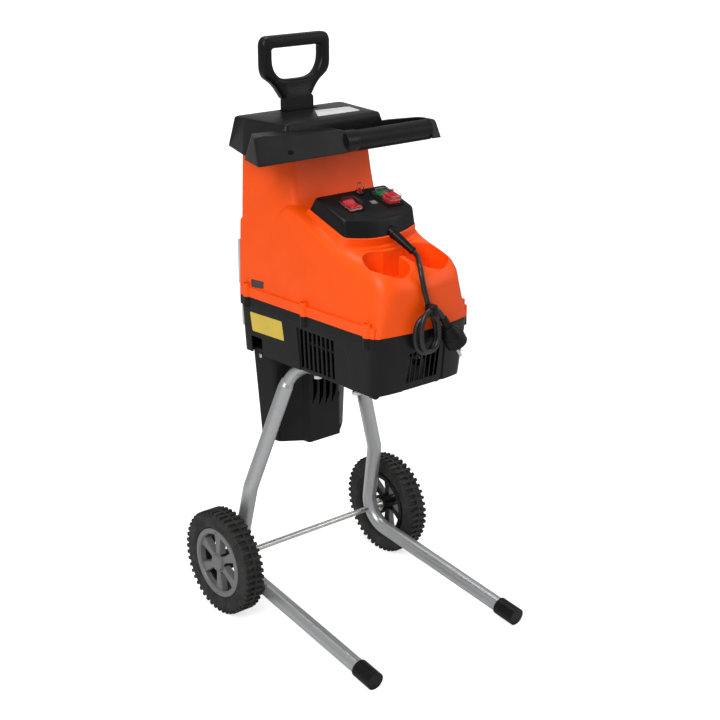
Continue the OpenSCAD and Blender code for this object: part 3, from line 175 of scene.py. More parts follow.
class Finish(ShaderTree):
    """A node material for one finish, built up a layer at a time."""

    def __init__(self, name):
        self.mat = bpy.data.materials.new(name)
        super().__init__(self.mat)
        self.out = self.node("ShaderNodeOutputMaterial")
        self.bsdf = self.node("ShaderNodeBsdfPrincipled")
        self.link(self.bsdf, "BSDF", self.out, "Surface")
        self.place = self.node("ShaderNodeTexCoord")
        self.normal = None

    def set(self, **values):
        for key, value in values.items():
            socket = self.bsdf.inputs[key.replace("_", " ")]
            socket.default_value = (*value, 1.0) if isinstance(value, tuple) else value
        return self

    def coords(self, stretch=(1, 1, 1), turn=(0, 0, 0)):
        m = self.node("ShaderNodeMapping")
        m.inputs["Scale"].default_value = stretch
        m.inputs["Rotation"].default_value = turn
        self.link(self.place, "Object", m, "Vector")
        return m

    def noise(self, scale, detail=3.0, rough=0.55, **coords):
        n = self.node("ShaderNodeTexNoise", Scale=scale, Detail=detail, Roughness=rough)
        self.link(self.coords(**coords), "Vector", n, "Vector")
        return n

    def mottle(self, colour, amount, scale=18.0, other=None, low=0.35, high=0.65):
        """Slow changes of the colour over the piece."""
        mix = self.node("ShaderNodeMix", data_type="RGBA")
        second = other or tuple(min(1.0, c * (1 + amount)) for c in colour)
        first = colour if other else tuple(c * (1 - amount) for c in colour)
        mix.inputs[6].default_value = (*first, 1)
        mix.inputs[7].default_value = (*second, 1)
        self.link(self.ramp(self.noise(scale), "Fac", low, high, 0, 1), "Result", mix, 0)
        self.tree.links.new(mix.outputs[2], self.bsdf.inputs["Base Color"])
        return self

    def gloss(self, low, high, scale=40.0, **coords):
        """Roughness that varies a little from place to place."""
        self.link(self.ramp(self.noise(scale, **coords), "Fac", 0.3, 0.7, low, high),
                  "Result", self.bsdf, "Roughness")
        return self

    def edge(self, radius):
        """Edges that catch the light as if rounded."""
        b = self.node("ShaderNodeBevel", Radius=radius)
        b.samples = 4
        self.normal = (b, "Normal")
        return self

    def bump(self, source, out, distance, strength=1.0):
        n = self.node("ShaderNodeBump", Strength=strength, Distance=distance)
        self.link(source, out, n, "Height")
        if self.normal:
            self.tree.links.new(self.normal[0].outputs[self.normal[1]], n.inputs["Normal"])
        self.normal = (n, "Normal")
        return self

    def grain(self, size, depth):
        """The leathery grain etched into a mould."""
        v = self.node("ShaderNodeTexVoronoi", Scale=1 / size)
        self.link(self.coords(), "Vector", v, "Vector")
        return self.bump(v, "Distance", depth)

    def ripple(self, size, depth, **coords):
        return self.bump(self.noise(1 / size, **coords), "Fac", depth)

    def done(self):
        if self.normal:
            self.tree.links.new(self.normal[0].outputs[self.normal[1]],
                                self.bsdf.inputs["Normal"])
        return self.mat


FINISH = {}


def make_finishes():
    c, s = colours(), sizes()
    col = {key: tuple(getattr(c, key)) for key in ShredderColours.__annotations__}

    def plastic(name, colour, low, high, edge=s.edge_r, spec=0.5, amount=0.04):
        return Finish(name).set(Specular_IOR_Level=spec).mottle(colour, amount).gloss(
            low, high).edge(edge)

    FINISH["orange_shell"] = plastic("Orange shell", col["orange"], 0.34, 0.44, amount=0.03,
        spec=0.28, edge=0.0003).ripple(0.0016, 0.00003).ripple(0.03, 0.0002).done()
    FINISH["black_shell"] = plastic("Black grained shell", col["black"], 0.28, 0.38,
        edge=0.0018, spec=0.18).grain(s.grain, 0.00006).ripple(0.02, 0.0002).done()
    FINISH["dark_plastic"] = plastic("Dark moulding", col["dark"], 0.3, 0.42, spec=0.16).ripple(
        0.0012, 0.00004).done()
    FINISH["grip"] = plastic("Grip", (0.008, 0.008, 0.008), 0.4, 0.52, spec=0.16).grain(
        0.0012, 0.00012).done()
    FINISH["lead_rubber"] = plastic("Lead sheath", (0.008, 0.008, 0.0085), 0.32, 0.45,
        edge=0.0003).ripple(0.004, 0.00012).done()
    FINISH["red_plastic"] = plastic("Red button", col["red"], 0.2, 0.3).done()
    FINISH["green_plastic"] = plastic("Green button", col["green"], 0.2, 0.3).done()
    FINISH["grey_plastic"] = plastic("Light grey cover", (0.52, 0.52, 0.50), 0.4, 0.5).ripple(
        0.0012, 0.00004).done()
    FINISH["rim_plastic"] = plastic("Grey wheel plastic", col["wheel"], 0.38, 0.5).ripple(
        0.0009, 0.00005).done()
    FINISH["tyre"] = Finish("Tread").set(Specular_IOR_Level=0.3).mottle(
        (0.014, 0.014, 0.0142), 0.5, 60, other=(0.034, 0.033, 0.031), low=0.4, high=0.75).gloss(
        0.55, 0.8).edge(0.0007).ripple(0.0011, 0.00015).done()
    FINISH["stand_paint"] = Finish("Silver powder coat").set(Metallic=0.75,
        Specular_IOR_Level=0.5, Coat_Weight=0.15, Coat_Roughness=0.2).mottle(
        col["tube"], 0.06, 700, low=0.3, high=0.7).gloss(0.30, 0.42, 220).ripple(
        0.0011, 0.00005).done()
    FINISH["zinc"] = Finish("Zinc plate").set(Metallic=1.0).mottle(
        (0.60, 0.61, 0.62), 0.1, 90, other=(0.72, 0.70, 0.64)).gloss(0.22, 0.4, 300).edge(
        s.metal_edge_r).ripple(0.0007, 0.00002).done()
    FINISH["machine_steel"] = Finish("Turned steel").set(Metallic=1.0).mottle(
        (0.40, 0.41, 0.42), 0.08, 60).gloss(0.28, 0.42, 400, stretch=(1, 1, 8)).edge(
        s.metal_edge_r).done()
    FINISH["dark_steel"] = Finish("Blackened steel").set(Metallic=0.9).mottle(
        (0.035, 0.035, 0.036), 0.15, 60).gloss(0.35, 0.5, 200).edge(s.metal_edge_r).done()
    FINISH["blade_steel"] = Finish("Ground steel").set(Metallic=1.0).mottle(
        (0.56, 0.57, 0.58), 0.06, 60).gloss(0.14, 0.3, 500, stretch=(1, 9, 1)).edge(
        s.metal_edge_r).done()
    FINISH["belt_rubber"] = plastic("Belt rubber", (0.012, 0.012, 0.012), 0.6, 0.8).ripple(
        0.002, 0.0001).done()
    FINISH["clear_cover"] = Finish("Clear soft cover").set(Base_Color=(0.97, 0.98, 0.98),
        Transmission_Weight=1.0, Roughness=0.03, IOR=1.25, Specular_IOR_Level=0.5).edge(
        0.0006).ripple(0.012, 0.0001).done()
    FINISH["yellow_plate"] = Finish("Plain yellow plate").set(Coat_Weight=0.3,
        Coat_Roughness=0.1).mottle(col["yellow"], 0.05, 30).gloss(0.25, 0.4).ripple(
        0.006, 0.00005).done()
    FINISH["dark_plate"] = Finish("Plain dark plate").set(Coat_Weight=0.3,
        Coat_Roughness=0.15).mottle((0.03, 0.022, 0.02), 0.2, 60).gloss(0.2, 0.35).done()
    FINISH["pale_plate"] = Finish("Bare pale plate").set(Coat_Weight=0.2,
        Coat_Roughness=0.2).mottle((0.62, 0.62, 0.60), 0.04, 40).gloss(0.3, 0.45).done()
    FINISH["silver_plate"] = Finish("Bare silver plate").set(Metallic=0.8).mottle(
        (0.30, 0.30, 0.30), 0.2, 120).gloss(0.3, 0.45).done()


# ------------------------------------------------------------------ pieces

def finished(name, mesh, body, finish, node=None):
    """A mesh made into a piece of a body, in place of a frame node where one is given."""
    ob = bpy.data.objects.new(name, mesh)
    bpy.context.scene.collection.objects.link(ob)
    mesh.materials.clear()
    mesh.materials.append(FINISH[finish])
    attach(ob, body)
    if node:
        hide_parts(node)
    return ob


def put_down(bm, name):
    """The mesh that an edit ends in."""
    mesh = bpy.data.meshes.new(name)
    bm.to_mesh(mesh)
    bm.free()
    return mesh


def merged(node):
    """A frame node's shape as one clean surface."""
    bm = bmesh.new()
    bm.from_mesh(NODES[node].data)
    bmesh.ops.remove_doubles(bm, verts=bm.verts, dist=WELD)
    bm.normal_update()
    # a face folded back over its neighbours is drawn together along its shortest side
    for f in list(bm.faces):
        if not f.is_valid or f.calc_area() < NO_AREA:
            continue
        back = [e for e in f.edges if len(e.link_faces) == 2 and e.calc_face_angle(0) > FOLD]
        if len(back) > 1:
            a, b = min(f.edges, key=lambda e: e.calc_length()).verts
            bmesh.ops.pointmerge(bm, verts=[a, b], merge_co=(a.co + b.co) / 2)
            bm.normal_update()
    return bm


def smooth(mesh, angle):
    """Round every face off and keep the edges sharper than the angle."""
    for f in mesh.polygons:
        f.use_smooth = True
    mesh.set_sharp_from_angle(angle=math.radians(angle))


def crease(bm, angle):
    """The same while a mesh is edited, where thin faces may lie along the edges."""
    limit = math.radians(angle)
    for f in bm.faces:
        f.smooth = True
    for e in bm.edges:
        e.smooth = len(e.link_faces) != 2 or e.calc_face_angle(0) < limit
    for f in bm.faces:
        sides = sorted(f.edges, key=lambda e: e.calc_length())[-2:]
        if 2 * f.calc_area() > SLIVER * sides[1].calc_length():
            continue
        beyond = [next((g for g in e.link_faces if g is not f), f) for e in sides]
        turns = [f.normal.angle(g.normal, 0) for g in beyond]
        split = beyond[0].normal.angle(beyond[1].normal, 0) > limit
        for e, turn in zip(sides, turns):
            e.smooth = not (split and turn == max(turns))


def weighted(mesh):
    """The mesh with normals that follow its large faces, so that flat walls shade flat."""
    ob = bpy.data.objects.new("weighting", mesh)
    bpy.context.scene.collection.objects.link(ob)
    m = ob.modifiers.new("Large faces", "WEIGHTED_NORMAL")
    m.mode = "FACE_AREA_WITH_ANGLE"
    m.weight = 50
    m.keep_sharp = True
    out = bpy.data.meshes.new_from_object(
        ob.evaluated_get(bpy.context.evaluated_depsgraph_get()))
    bpy.data.objects.remove(ob)
    bpy.data.meshes.remove(mesh)
    return out


def dressed(node, finish, angle=32):
    """A frame node with its facets blended into smooth faces."""
    bm = merged(node)
    crease(bm, angle)
    mesh = weighted(put_down(bm, node + "_skin"))
    return finished(node + "_skin", mesh, BODY_OF[node], finish, node)


def paint(finish, *nodes):
    """Give frame nodes a finish as they are."""
    for node in nodes:
        mesh = NODES[node].data
        mesh.materials.clear()
        mesh.materials.append(FINISH[finish])


def surface(node):
    """A frame node's faces, to lay things on."""
    mesh = NODES[node].data
    return BVHTree.FromPolygons([v.co for v in mesh.vertices],
                                [tuple(f.vertices) for f in mesh.polygons])


def rounded(corners, radius):
    """The outline of a plate whose corners are rounded off."""
    outline = []
    for before, corner, after in zip(corners[-1:] + corners, corners, corners[1:] + corners):
        c = Vector(corner)
        a = c + (Vector(before) - c).normalized() * radius
        b = c + (Vector(after) - c).normalized() * radius
        outline += [(1 - t) ** 2 * a + 2 * t * (1 - t) * c + t * t * b
                    for t in (0, 0.25, 0.5, 0.75, 1)]
    return outline


def plate(name, on, corners, outward, finish, corner_r):
    """A thin bare plate stuck on a node: its corners in mm from the axle, seen from outside."""
    faces, out = surface(on), Vector(outward).normalized()
    outline = rounded(corners, corner_r)
    middle = sum(outline, Vector()) / len(outline)
    bm = bmesh.new()

    def laid(spot, lift):
        spot = from_axle(*spot)
        hit = faces.ray_cast(spot + out * PROBE, -out, 2 * PROBE)[0]
        return bm.verts.new((hit or spot) + out * lift)

    def strip(a, b):
        for i in range(len(a)):
            j = (i + 1) % len(a)
            bm.faces.new((a[i], a[j], b[j], b[i]))

    rims = []
    for lift in (sizes().plate_t, -PLATE_SINK):
        rings = [[laid(middle + (p - middle) * share, lift) for p in outline]
                 for share in (1.0, 0.8, 0.55, 0.3)]
        tip = laid(middle, lift)
        for a, b in zip(rings, rings[1:]):
            strip(a, b)
        for a, b in zip(rings[-1], rings[-1][1:] + rings[-1][:1]):
            bm.faces.new((a, b, tip))
        rims.append(rings[0])
    strip(*rims)
    bmesh.ops.recalc_face_normals(bm, faces=bm.faces)
    mesh = put_down(bm, name)
    smooth(mesh, 40)
    return finished(name, mesh, BODY_OF[on], finish)


# ------------------------------------------------------------------ geometry node trees

class Grower:
    """A Geometry Nodes tree with named inputs for its sizes."""

    KINDS = {"size": "NodeSocketFloat", "count": "NodeSocketInt", "place": "NodeSocketVector",
             "finish": "NodeSocketMaterial"}

    def __init__(self, name, points=False, **inputs):
        self.tree = bpy.data.node_groups.new(name, "GeometryNodeTree")
        if points:
            self.tree.interface.new_socket("Points", in_out="INPUT",
                                           socket_type="NodeSocketGeometry")
        for label, kind in inputs.items():
            self.tree.interface.new_socket(label.replace("_", " "), in_out="INPUT",
                                           socket_type=self.KINDS[kind])
        self.tree.interface.new_socket("Geometry", in_out="OUTPUT",
                                       socket_type="NodeSocketGeometry")
        self.given = self.tree.nodes.new("NodeGroupInput")

    def put(self, kind, wires=None, **settings):
        """Add a node; a wire is a value, a node's first output or (node, output)."""
        n = self.tree.nodes.new(kind)
        for key, value in settings.items():
            setattr(n, key, value)
        for key, value in (wires or {}).items():
            if isinstance(value, str):
                value = (self.given, value)
            if isinstance(value, bpy.types.Node):
                value = (value, 0)
            if isinstance(value, tuple) and isinstance(value[0], bpy.types.Node):
                self.tree.links.new(value[0].outputs[value[1]], n.inputs[key])
            else:
                n.inputs[key].default_value = value
        return n

    def calc(self, operation, a, b):
        return self.put("ShaderNodeMath", {0: a, 1: b}, operation=operation)

    def vector(self, x=0.0, y=0.0, z=0.0):
        return self.put("ShaderNodeCombineXYZ", {0: x, 1: y, 2: z})

    def done(self, geometry, finish):
        real = self.put("GeometryNodeRealizeInstances", {0: geometry})
        dyed = self.put("GeometryNodeSetMaterial", {"Geometry": real, "Material": finish})
        self.put("NodeGroupOutput", {0: dyed})
        return self.tree


def grown(name, tree, values, points=None):
    """The plain mesh that a tree makes, from points where it needs them."""
    seed = bpy.data.meshes.new(name + "_seed")
    if points:
        seed.from_pydata([p for p, axis in points], [], [])
        layer = seed.attributes.new("axis", "FLOAT_VECTOR", "POINT")
        for item, (p, axis) in zip(layer.data, points):
            item.vector = axis
    ob = bpy.data.objects.new(name + "_seed", seed)
    bpy.context.scene.collection.objects.link(ob)
    m = ob.modifiers.new(tree.name, "NODES")
    m.node_group = tree
    for item in tree.interface.items_tree:
        if item.item_type == "SOCKET" and item.in_out == "INPUT" and item.name in values:
            m[item.identifier] = values[item.name]
    ob.update_tag()
    bpy.context.view_layer.update()
    mesh = bpy.data.meshes.new_from_object(
        ob.evaluated_get(bpy.context.evaluated_depsgraph_get()))
    mesh.name = name
    bpy.data.objects.remove(ob)
    bpy.data.meshes.remove(seed)
    if not mesh.polygons:
        raise RuntimeError(tree.name + " made nothing")
    return mesh


def outside(mesh):
    """Turn every face of the mesh outwards."""
    bm = bmesh.new()
    bm.from_mesh(mesh)
    bmesh.ops.recalc_face_normals(bm, faces=bm.faces)
    bm.to_mesh(mesh)
    bm.free()


def screw_tree():
    """Pan-head screws with a cross recess, one at each point and along its axis."""
    g = Grower("Pan-head screws", points=True, Head_diameter="size", Head_height="size",
               Shank_diameter="size", Shank_length="size", Finish="finish")
    radius = g.calc("DIVIDE", "Head diameter", 2.0)
    head = g.put("GeometryNodeMeshCylinder", {
        "Vertices": 28, "Side Segments": 1, "Fill Segments": 4, "Radius": radius,
        "Depth": "Head height"})
    place = g.put("ShaderNodeSeparateXYZ", {0: g.put("GeometryNodeInputPosition")})
    out = g.put("ShaderNodeVectorMath", {0: g.vector((place, 0), (place, 1))},
                operation="LENGTH")
    share = g.calc("DIVIDE", (out, "Value"), radius)
    drop = g.calc("MULTIPLY", g.calc("POWER", share, 3.0), g.calc("MULTIPLY", "Head height", -0.55))
    domed = g.put("GeometryNodeSetPosition", {
        "Geometry": (head, "Mesh"), "Offset": g.vector(0.0, 0.0, drop),
        "Selection": g.calc("GREATER_THAN", (place, 2), 0.0)})
    arm, slot, deep = (g.calc("MULTIPLY", "Head diameter", k) for k in (0.52, 0.12, 0.26))
    tools = []
    for x, y in ((arm, slot), (slot, arm)):
        bar = g.put("GeometryNodeMeshCube", {"Size": g.vector(x, y, deep)})
        tools.append(g.put("GeometryNodeTransform", {
            "Geometry": bar,
            "Translation": g.vector(0.0, 0.0, g.calc("MULTIPLY", "Head height", 0.5))}))
    cross = g.put("GeometryNodeMeshBoolean", operation="UNION")
    cut = g.put("GeometryNodeMeshBoolean", operation="DIFFERENCE")
    for tool in tools:
        g.tree.links.new(tool.outputs[0], cross.inputs["Mesh 2"])
    g.tree.links.new(domed.outputs[0], cut.inputs["Mesh 1"])
    g.tree.links.new(cross.outputs[0], cut.inputs["Mesh 2"])
    raised = g.put("GeometryNodeTransform", {
        "Geometry": cut,
        "Translation": g.vector(0.0, 0.0, g.calc("MULTIPLY", "Head height", 0.5))})
    shank = g.put("GeometryNodeMeshCylinder", {
        "Vertices": 16, "Radius": g.calc("DIVIDE", "Shank diameter", 2.0),
        "Depth": "Shank length"})
    sunk = g.put("GeometryNodeTransform", {
        "Geometry": (shank, "Mesh"),
        "Translation": g.vector(0.0, 0.0, g.calc("MULTIPLY", "Shank length", -0.499))})
    both = g.put("GeometryNodeJoinGeometry")
    for piece in (raised, sunk):
        g.tree.links.new(piece.outputs[0], both.inputs[0])
    axis = g.put("GeometryNodeInputNamedAttribute", data_type="FLOAT_VECTOR")
    axis.inputs["Name"].default_value = "axis"
    turn = g.put("FunctionNodeAlignRotationToVector", {"Vector": (axis, "Attribute")}, axis="Z")
    each = g.put("GeometryNodeInstanceOnPoints", {
        "Points": "Points", "Instance": both, "Rotation": turn})
    return g.done(each, "Finish")


def rib_tree():
    """Pairs of ribs behind the spokes of a rim, about the X axis."""
    g = Grower("Spoke ribs", Spokes="count", Hub_radius="size", Ring_radius="size",
               Hub_half_width="size", Ring_half_width="size", Thickness="size", Depth="size",
               Face="size", Outward="size", Centre="place", Finish="finish")
    length = g.calc("SUBTRACT", "Ring radius", "Hub radius")
    spread = g.calc("SUBTRACT", "Ring half width", "Hub half width")
    block = g.put("GeometryNodeMeshCube", {"Size": g.vector(length, "Thickness", "Depth")})
    lean = g.calc("ARCTANGENT", g.calc("DIVIDE", spread, length), 0.0)
    middle = g.calc("MULTIPLY", g.calc("ADD", "Hub radius", "Ring radius"), 0.5)
    off = g.calc("MULTIPLY", g.calc("ADD", "Hub half width", "Ring half width"), 0.5)
    inner = g.calc("SUBTRACT", "Face", g.calc("MULTIPLY", "Depth", 0.5))
    pair = g.put("GeometryNodeJoinGeometry")
    for side in (-1, 1):
        wall = g.put("GeometryNodeTransform", {
            "Geometry": (block, "Mesh"),
            "Rotation": g.vector(0.0, 0.0, g.calc("MULTIPLY", lean, side)),
            "Translation": g.vector(middle, g.calc("MULTIPLY", off, side), inner)})
        g.tree.links.new(wall.outputs[0], pair.inputs[0])
    ring = g.put("GeometryNodeMeshCircle", {"Vertices": "Spokes", "Radius": 0.0})
    step = g.calc("DIVIDE", math.tau, "Spokes")
    angle = g.calc("MULTIPLY", g.put("GeometryNodeInputIndex"), step)
    each = g.put("GeometryNodeInstanceOnPoints", {
        "Points": ring, "Instance": pair, "Rotation": g.vector(0.0, 0.0, angle)})
    upright = g.put("GeometryNodeTransform", {
        "Geometry": each, "Rotation": (math.pi / 2, 0.0, math.pi / 2)})
    first = g.put("GeometryNodeTransform", {
        "Geometry": upright, "Rotation": (math.pi / 2, 0.0, 0.0)})
    sided = g.put("GeometryNodeTransform", {
        "Geometry": first, "Scale": g.vector("Outward", 1.0, 1.0)})
    moved = g.put("GeometryNodeTransform", {"Geometry": sided, "Translation": "Centre"})
    return g.done(moved, "Finish")


def tyre_tree():
    """A block-tread tyre about the X axis: a carcass with a middle rib and two rows of bars."""
    g = Grower("Block tread tyre", Radius="size", Bore_radius="size", Width="size",
               Lug_depth="size", Lugs="count", Centre="place", Finish="finish")
    crown = g.calc("SUBTRACT", "Radius", "Lug depth")
    thick = g.calc("SUBTRACT", crown, "Bore radius")
    shape = g.put("GeometryNodeCurvePrimitiveQuadrilateral", {
        "Width": thick, "Height": "Width"})
    rounded = g.put("GeometryNodeFilletCurve", {
        "Curve": shape, "Radius": g.calc("MULTIPLY", "Lug depth", 1.6), "Count": 5},
        mode="POLY")
    ring = g.put("GeometryNodeCurvePrimitiveCircle", {
        "Resolution": 128, "Radius": g.calc("MULTIPLY", g.calc("ADD", crown, "Bore radius"), 0.5)})
    carcass = g.put("GeometryNodeCurveToMesh", {"Curve": (ring, "Curve"),
                                                "Profile Curve": rounded})
    strip = g.put("GeometryNodeCurvePrimitiveQuadrilateral", {
        "Width": g.calc("MULTIPLY", "Lug depth", 2.0), "Height": g.calc("MULTIPLY", "Width", 0.1)})
    waist = g.put("GeometryNodeCurvePrimitiveCircle", {"Resolution": 128, "Radius": crown})
    middle_rib = g.put("GeometryNodeCurveToMesh", {"Curve": (waist, "Curve"),
                                                   "Profile Curve": strip})
    # a bar is a block with drawn-in sides that ends at the shoulder
    pitch = g.calc("DIVIDE", g.calc("MULTIPLY", "Radius", math.tau), "Lugs")
    long = g.calc("MULTIPLY", "Width", 0.43)
    high = g.calc("MULTIPLY", "Lug depth", 2.0)
    block = g.put("GeometryNodeMeshCube", {"Size": g.vector(
        high, g.calc("MULTIPLY", pitch, 0.56), long), "Vertices X": 2, "Vertices Y": 2,
        "Vertices Z": 5})
    at = g.put("ShaderNodeSeparateXYZ", {0: g.put("GeometryNodeInputPosition")})
    face = g.calc("GREATER_THAN", (at, 0), 0.0)
    drawn = g.put("GeometryNodeSetPosition", {
        "Geometry": (block, "Mesh"), "Selection": face,
        "Offset": g.vector(0.0, g.calc("MULTIPLY", (at, 1), -0.2), 0.0)})
    rows = g.put("GeometryNodeJoinGeometry")
    step = g.calc("DIVIDE", math.tau, "Lugs")
    angle = g.calc("MULTIPLY", g.put("GeometryNodeInputIndex"), step)
    for side in (-1, 1):
        spots = g.put("GeometryNodeMeshCircle", {"Vertices": "Lugs", "Radius": crown})
        row = g.put("GeometryNodeTransform", {
            "Geometry": spots, "Translation": g.vector(
                0.0, 0.0, g.calc("MULTIPLY", "Width", side * 0.265))})
        each = g.put("GeometryNodeInstanceOnPoints", {
            "Points": row, "Instance": drawn, "Rotation": g.vector(0.0, 0.0, angle)})
        offset = g.put("GeometryNodeTransform", {
            "Geometry": each, "Rotation": g.vector(
                0.0, 0.0, g.calc("MULTIPLY", step, 0.06 * side))})
        g.tree.links.new(offset.outputs[0], rows.inputs[0])
    whole = g.put("GeometryNodeJoinGeometry")
    for piece in (carcass, rows, middle_rib):
        g.tree.links.new(piece.outputs[0], whole.inputs[0])
    upright = g.put("GeometryNodeTransform", {
        "Geometry": whole, "Rotation": (0.0, math.pi / 2, 0.0)})
    moved = g.put("GeometryNodeTransform", {"Geometry": upright, "Translation": "Centre"})
    return g.done(moved, "Finish")


# ------------------------------------------------------------------ operators

CAMERA_AT = (-1.439, -1.851 + AXLE_Y, 1.232)
CAMERA_TURN = (math.radians(90 - 19.40), 0, math.radians(-40.06))
WHITE = (1, 1, 1, 1)
FLOOR_SIZE = 90
FLOOR_GREY = (0.72, 0.72, 0.72, 1)
FLOOR_FADE = (1.2, 5.0, 0.66, 1.0)      # from and to what distance, from and to what glow
WORLD_LIGHT = 0.42
LIT_POINT = Vector((0, 0, 0.5))
LAMPS = (               # name, place, width in metres, power in watts
    ("Key", (-2.6, -1.2, 2.4), 1.4, 70),
    ("Fill", (2.4, -2.2, 1.8), 1.6, 16),
    ("Top", (0.2, 0.4, 3.2), 1.4, 36))


class Backdrop(ShaderTree):
    """A tree that shows the camera one shader and lights the object with another."""

    def split(self, out, lighting, shown):
        ray = self.node("ShaderNodeLightPath")
        seen = self.node("ShaderNodeMath", operation="MAXIMUM")
        self.link(ray, "Is Camera Ray", seen, 0)
        self.link(ray, "Is Transmission Ray", seen, 1)
        pick = self.node("ShaderNodeMixShader")
        self.link(seen, 0, pick, 0)
        self.link(lighting, 0, pick, 1)
        self.link(shown, 0, pick, 2)
        self.link(pick, 0, self.node(out), "Surface")


def floor_material():
    """Pale, and fading to plain white away from the object."""
    mat = bpy.data.materials.new("Pale floor")
    t = Backdrop(mat)
    diffuse = t.node("ShaderNodeBsdfDiffuse", Color=FLOOR_GREY)
    reach = t.node("ShaderNodeVectorMath", operation="LENGTH")
    t.link(t.node("ShaderNodeTexCoord"), "Object", reach, 0)
    glow = t.node("ShaderNodeEmission", Color=WHITE)
    t.link(t.ramp(reach, "Value", *FLOOR_FADE), "Result", glow, "Strength")
    both = t.node("ShaderNodeAddShader")
    t.link(diffuse, 0, both, 0)
    t.link(glow, 0, both, 1)
    t.split("ShaderNodeOutputMaterial", diffuse, both)
    return mat


class SHREDDER_OT_stage(bpy.types.Operator):
    """Set up the camera, the pale floor and the soft studio light"""
    bl_idname = "shredder.stage"
    bl_label = "Camera, floor and light"

    def execute(self, context):
        scene = context.scene
        scene.view_settings.view_transform = "Standard"
        data = bpy.data.cameras.new("Camera")
        data.sensor_width = 36
        data.lens = sizes().lens
        data.clip_end = 120
        cam = bpy.data.objects.new("Camera", data)
        cam.location = CAMERA_AT
        cam.rotation_euler = CAMERA_TURN
        scene.collection.objects.link(cam)
        scene.camera = cam

        bpy.ops.mesh.primitive_plane_add(size=FLOOR_SIZE, location=(0, 0, 0))
        floor = context.object
        floor.name = "Floor"
        floor.data.materials.append(floor_material())

        scene.world = bpy.data.worlds.new("Studio")
        t = Backdrop(scene.world)
        t.split("ShaderNodeOutputWorld",
                t.node("ShaderNodeBackground", Color=WHITE, Strength=WORLD_LIGHT),
                t.node("ShaderNodeBackground", Color=WHITE, Strength=1.0))

        for name, place, width, power in LAMPS:
            data = bpy.data.lights.new(name, "AREA")
            data.size = width
            data.energy = power
            lamp = bpy.data.objects.new(name, data)
            lamp.location = place
            lamp.rotation_euler = (LIT_POINT - Vector(place)).to_track_quat("-Z", "Y").to_euler()
            scene.collection.objects.link(lamp)
        return {"FINISHED"}


LEAD_STEP = 3 * MM
LEAD_PASSES = 8         # how often the lead's line is smoothed out


def smooth_route(knots, step):
    """Points at even steps along a smooth curve through the knots, in metres."""
    dense = []
    for a, b, c, d in zip(knots[:1] + knots, knots, knots[1:], knots[2:] + knots[-1:]):
        for t in (j / 12 for j in range(12)):
            dense.append(0.5 * (2 * b + (c - a) * t + (2 * a - 5 * b + 4 * c - d) * t * t
                                + (3 * b - a - 3 * c + d) * t ** 3))
    dense.append(knots[-1])
    out = [dense[0]]
    for p in dense[1:]:
        if (p - out[-1]).length >= step:
            out.append(p)
    out[-1] = dense[-1]
    return out


def lead_route():
    """The lead's centreline: over the housing's lip, round its loops and to the plug."""
    knots = [(24, -238, 642), (23.8, -240.9, 640.9), (23.1, -244.4, 639.9),
             (21.5, -248.5, 639.2), (18.9, -253, 638.6), (15.3, -258, 638.1),
             (11.1, -263.2, 637.7), (5.6, -270, 637.2), (-1.2, -278.6, 636.6), (-6.2, -286, 635),
             (-9.3, -291.3, 631.4), (-10.9, -295, 625.8), (-11, -297.5, 616),
             (-9.8, -300, 604), (-8.4, -303, 592), (-6.6, -305, 582), (-3.6, -305.6, 572.5)]
    back_loop = [(1, -305.6, 562.5), (6.3, -305.6, 552), (10.4, -305.6, 540),
                 (12, -305.6, 528), (10.3, -305.6, 516), (3, -305.6, 506.5), (-9, -305.6, 503),
                 (-21, -305.6, 506.5), (-29, -305.6, 516), (-31.5, -305.6, 528),
                 (-31, -305.6, 540), (-27.5, -306, 552.5), (-20.5, -308.8, 562.5),
                 (-11, -312.8, 566.6)]
    front_loop = [(-2, -315.5, 563.8), (3.4, -316.6, 556), (6, -317, 546), (7, -317, 534),
                  (6.3, -317, 522), (0.5, -317, 512.5), (-10.5, -317, 508),
                  (-22, -317, 512.3), (-27.8, -317, 523), (-29.2, -317, 536),
                  (-28.8, -317, 549), (-25.5, -316.8, 562), (-18, -316.6, 572),
                  (-7.5, -316.6, 575.6)]
    tail = [(1.5, -317, 572.6), (7.6, -318.5, 565.3), (13, -319, 557)]
    route = smooth_route([from_axle(*p) for p in knots + back_loop + front_loop + tail],
                         LEAD_STEP)
    for _ in range(LEAD_PASSES):
        route[1:-1] = [(a + 2 * b + c) / 4 for a, b, c in zip(route, route[1:], route[2:])]
    return route


def squarish(c):
    """A cosine or sine that makes an oval squarer."""
    return math.copysign(abs(c) ** 0.7, c)


BAND_SIDES = 40


def tie_band():
    """A band wound three times round the loops, in place of the tie's plain block."""
    # how far up the band, and how far out
    winds = [(0, .80), (.05, .93), (.14, 1), (.24, 1), (.31, .92), (.335, .86), (.36, .92),
             (.43, 1), (.57, 1), (.64, .92), (.665, .86), (.69, .92), (.76, 1), (.86, 1),
             (.95, .93), (1, .80)]
    bm = bmesh.new()
    rings = []
    turns = [math.tau * k / BAND_SIDES for k in range(BAND_SIDES)]
    for level, reach in winds:
        rings.append([bm.verts.new(from_axle(-6 + 8 * reach * squarish(math.cos(t)),
                                             -313 + 10.2 * reach * squarish(math.sin(t)),
                                             564 + 16 * level)) for t in turns])
    for low, high in zip(rings, rings[1:]):
        for k in range(BAND_SIDES):
            j = (k + 1) % BAND_SIDES
            bm.faces.new((low[k], low[j], high[j], high[k]))
    bm.faces.new(rings[0][::-1])
    bm.faces.new(rings[-1])
    mesh = put_down(bm, "tie_band")
    smooth(mesh, 50)
    return finished("tie_band", mesh, "body", "dark_plastic", "cord_tie")


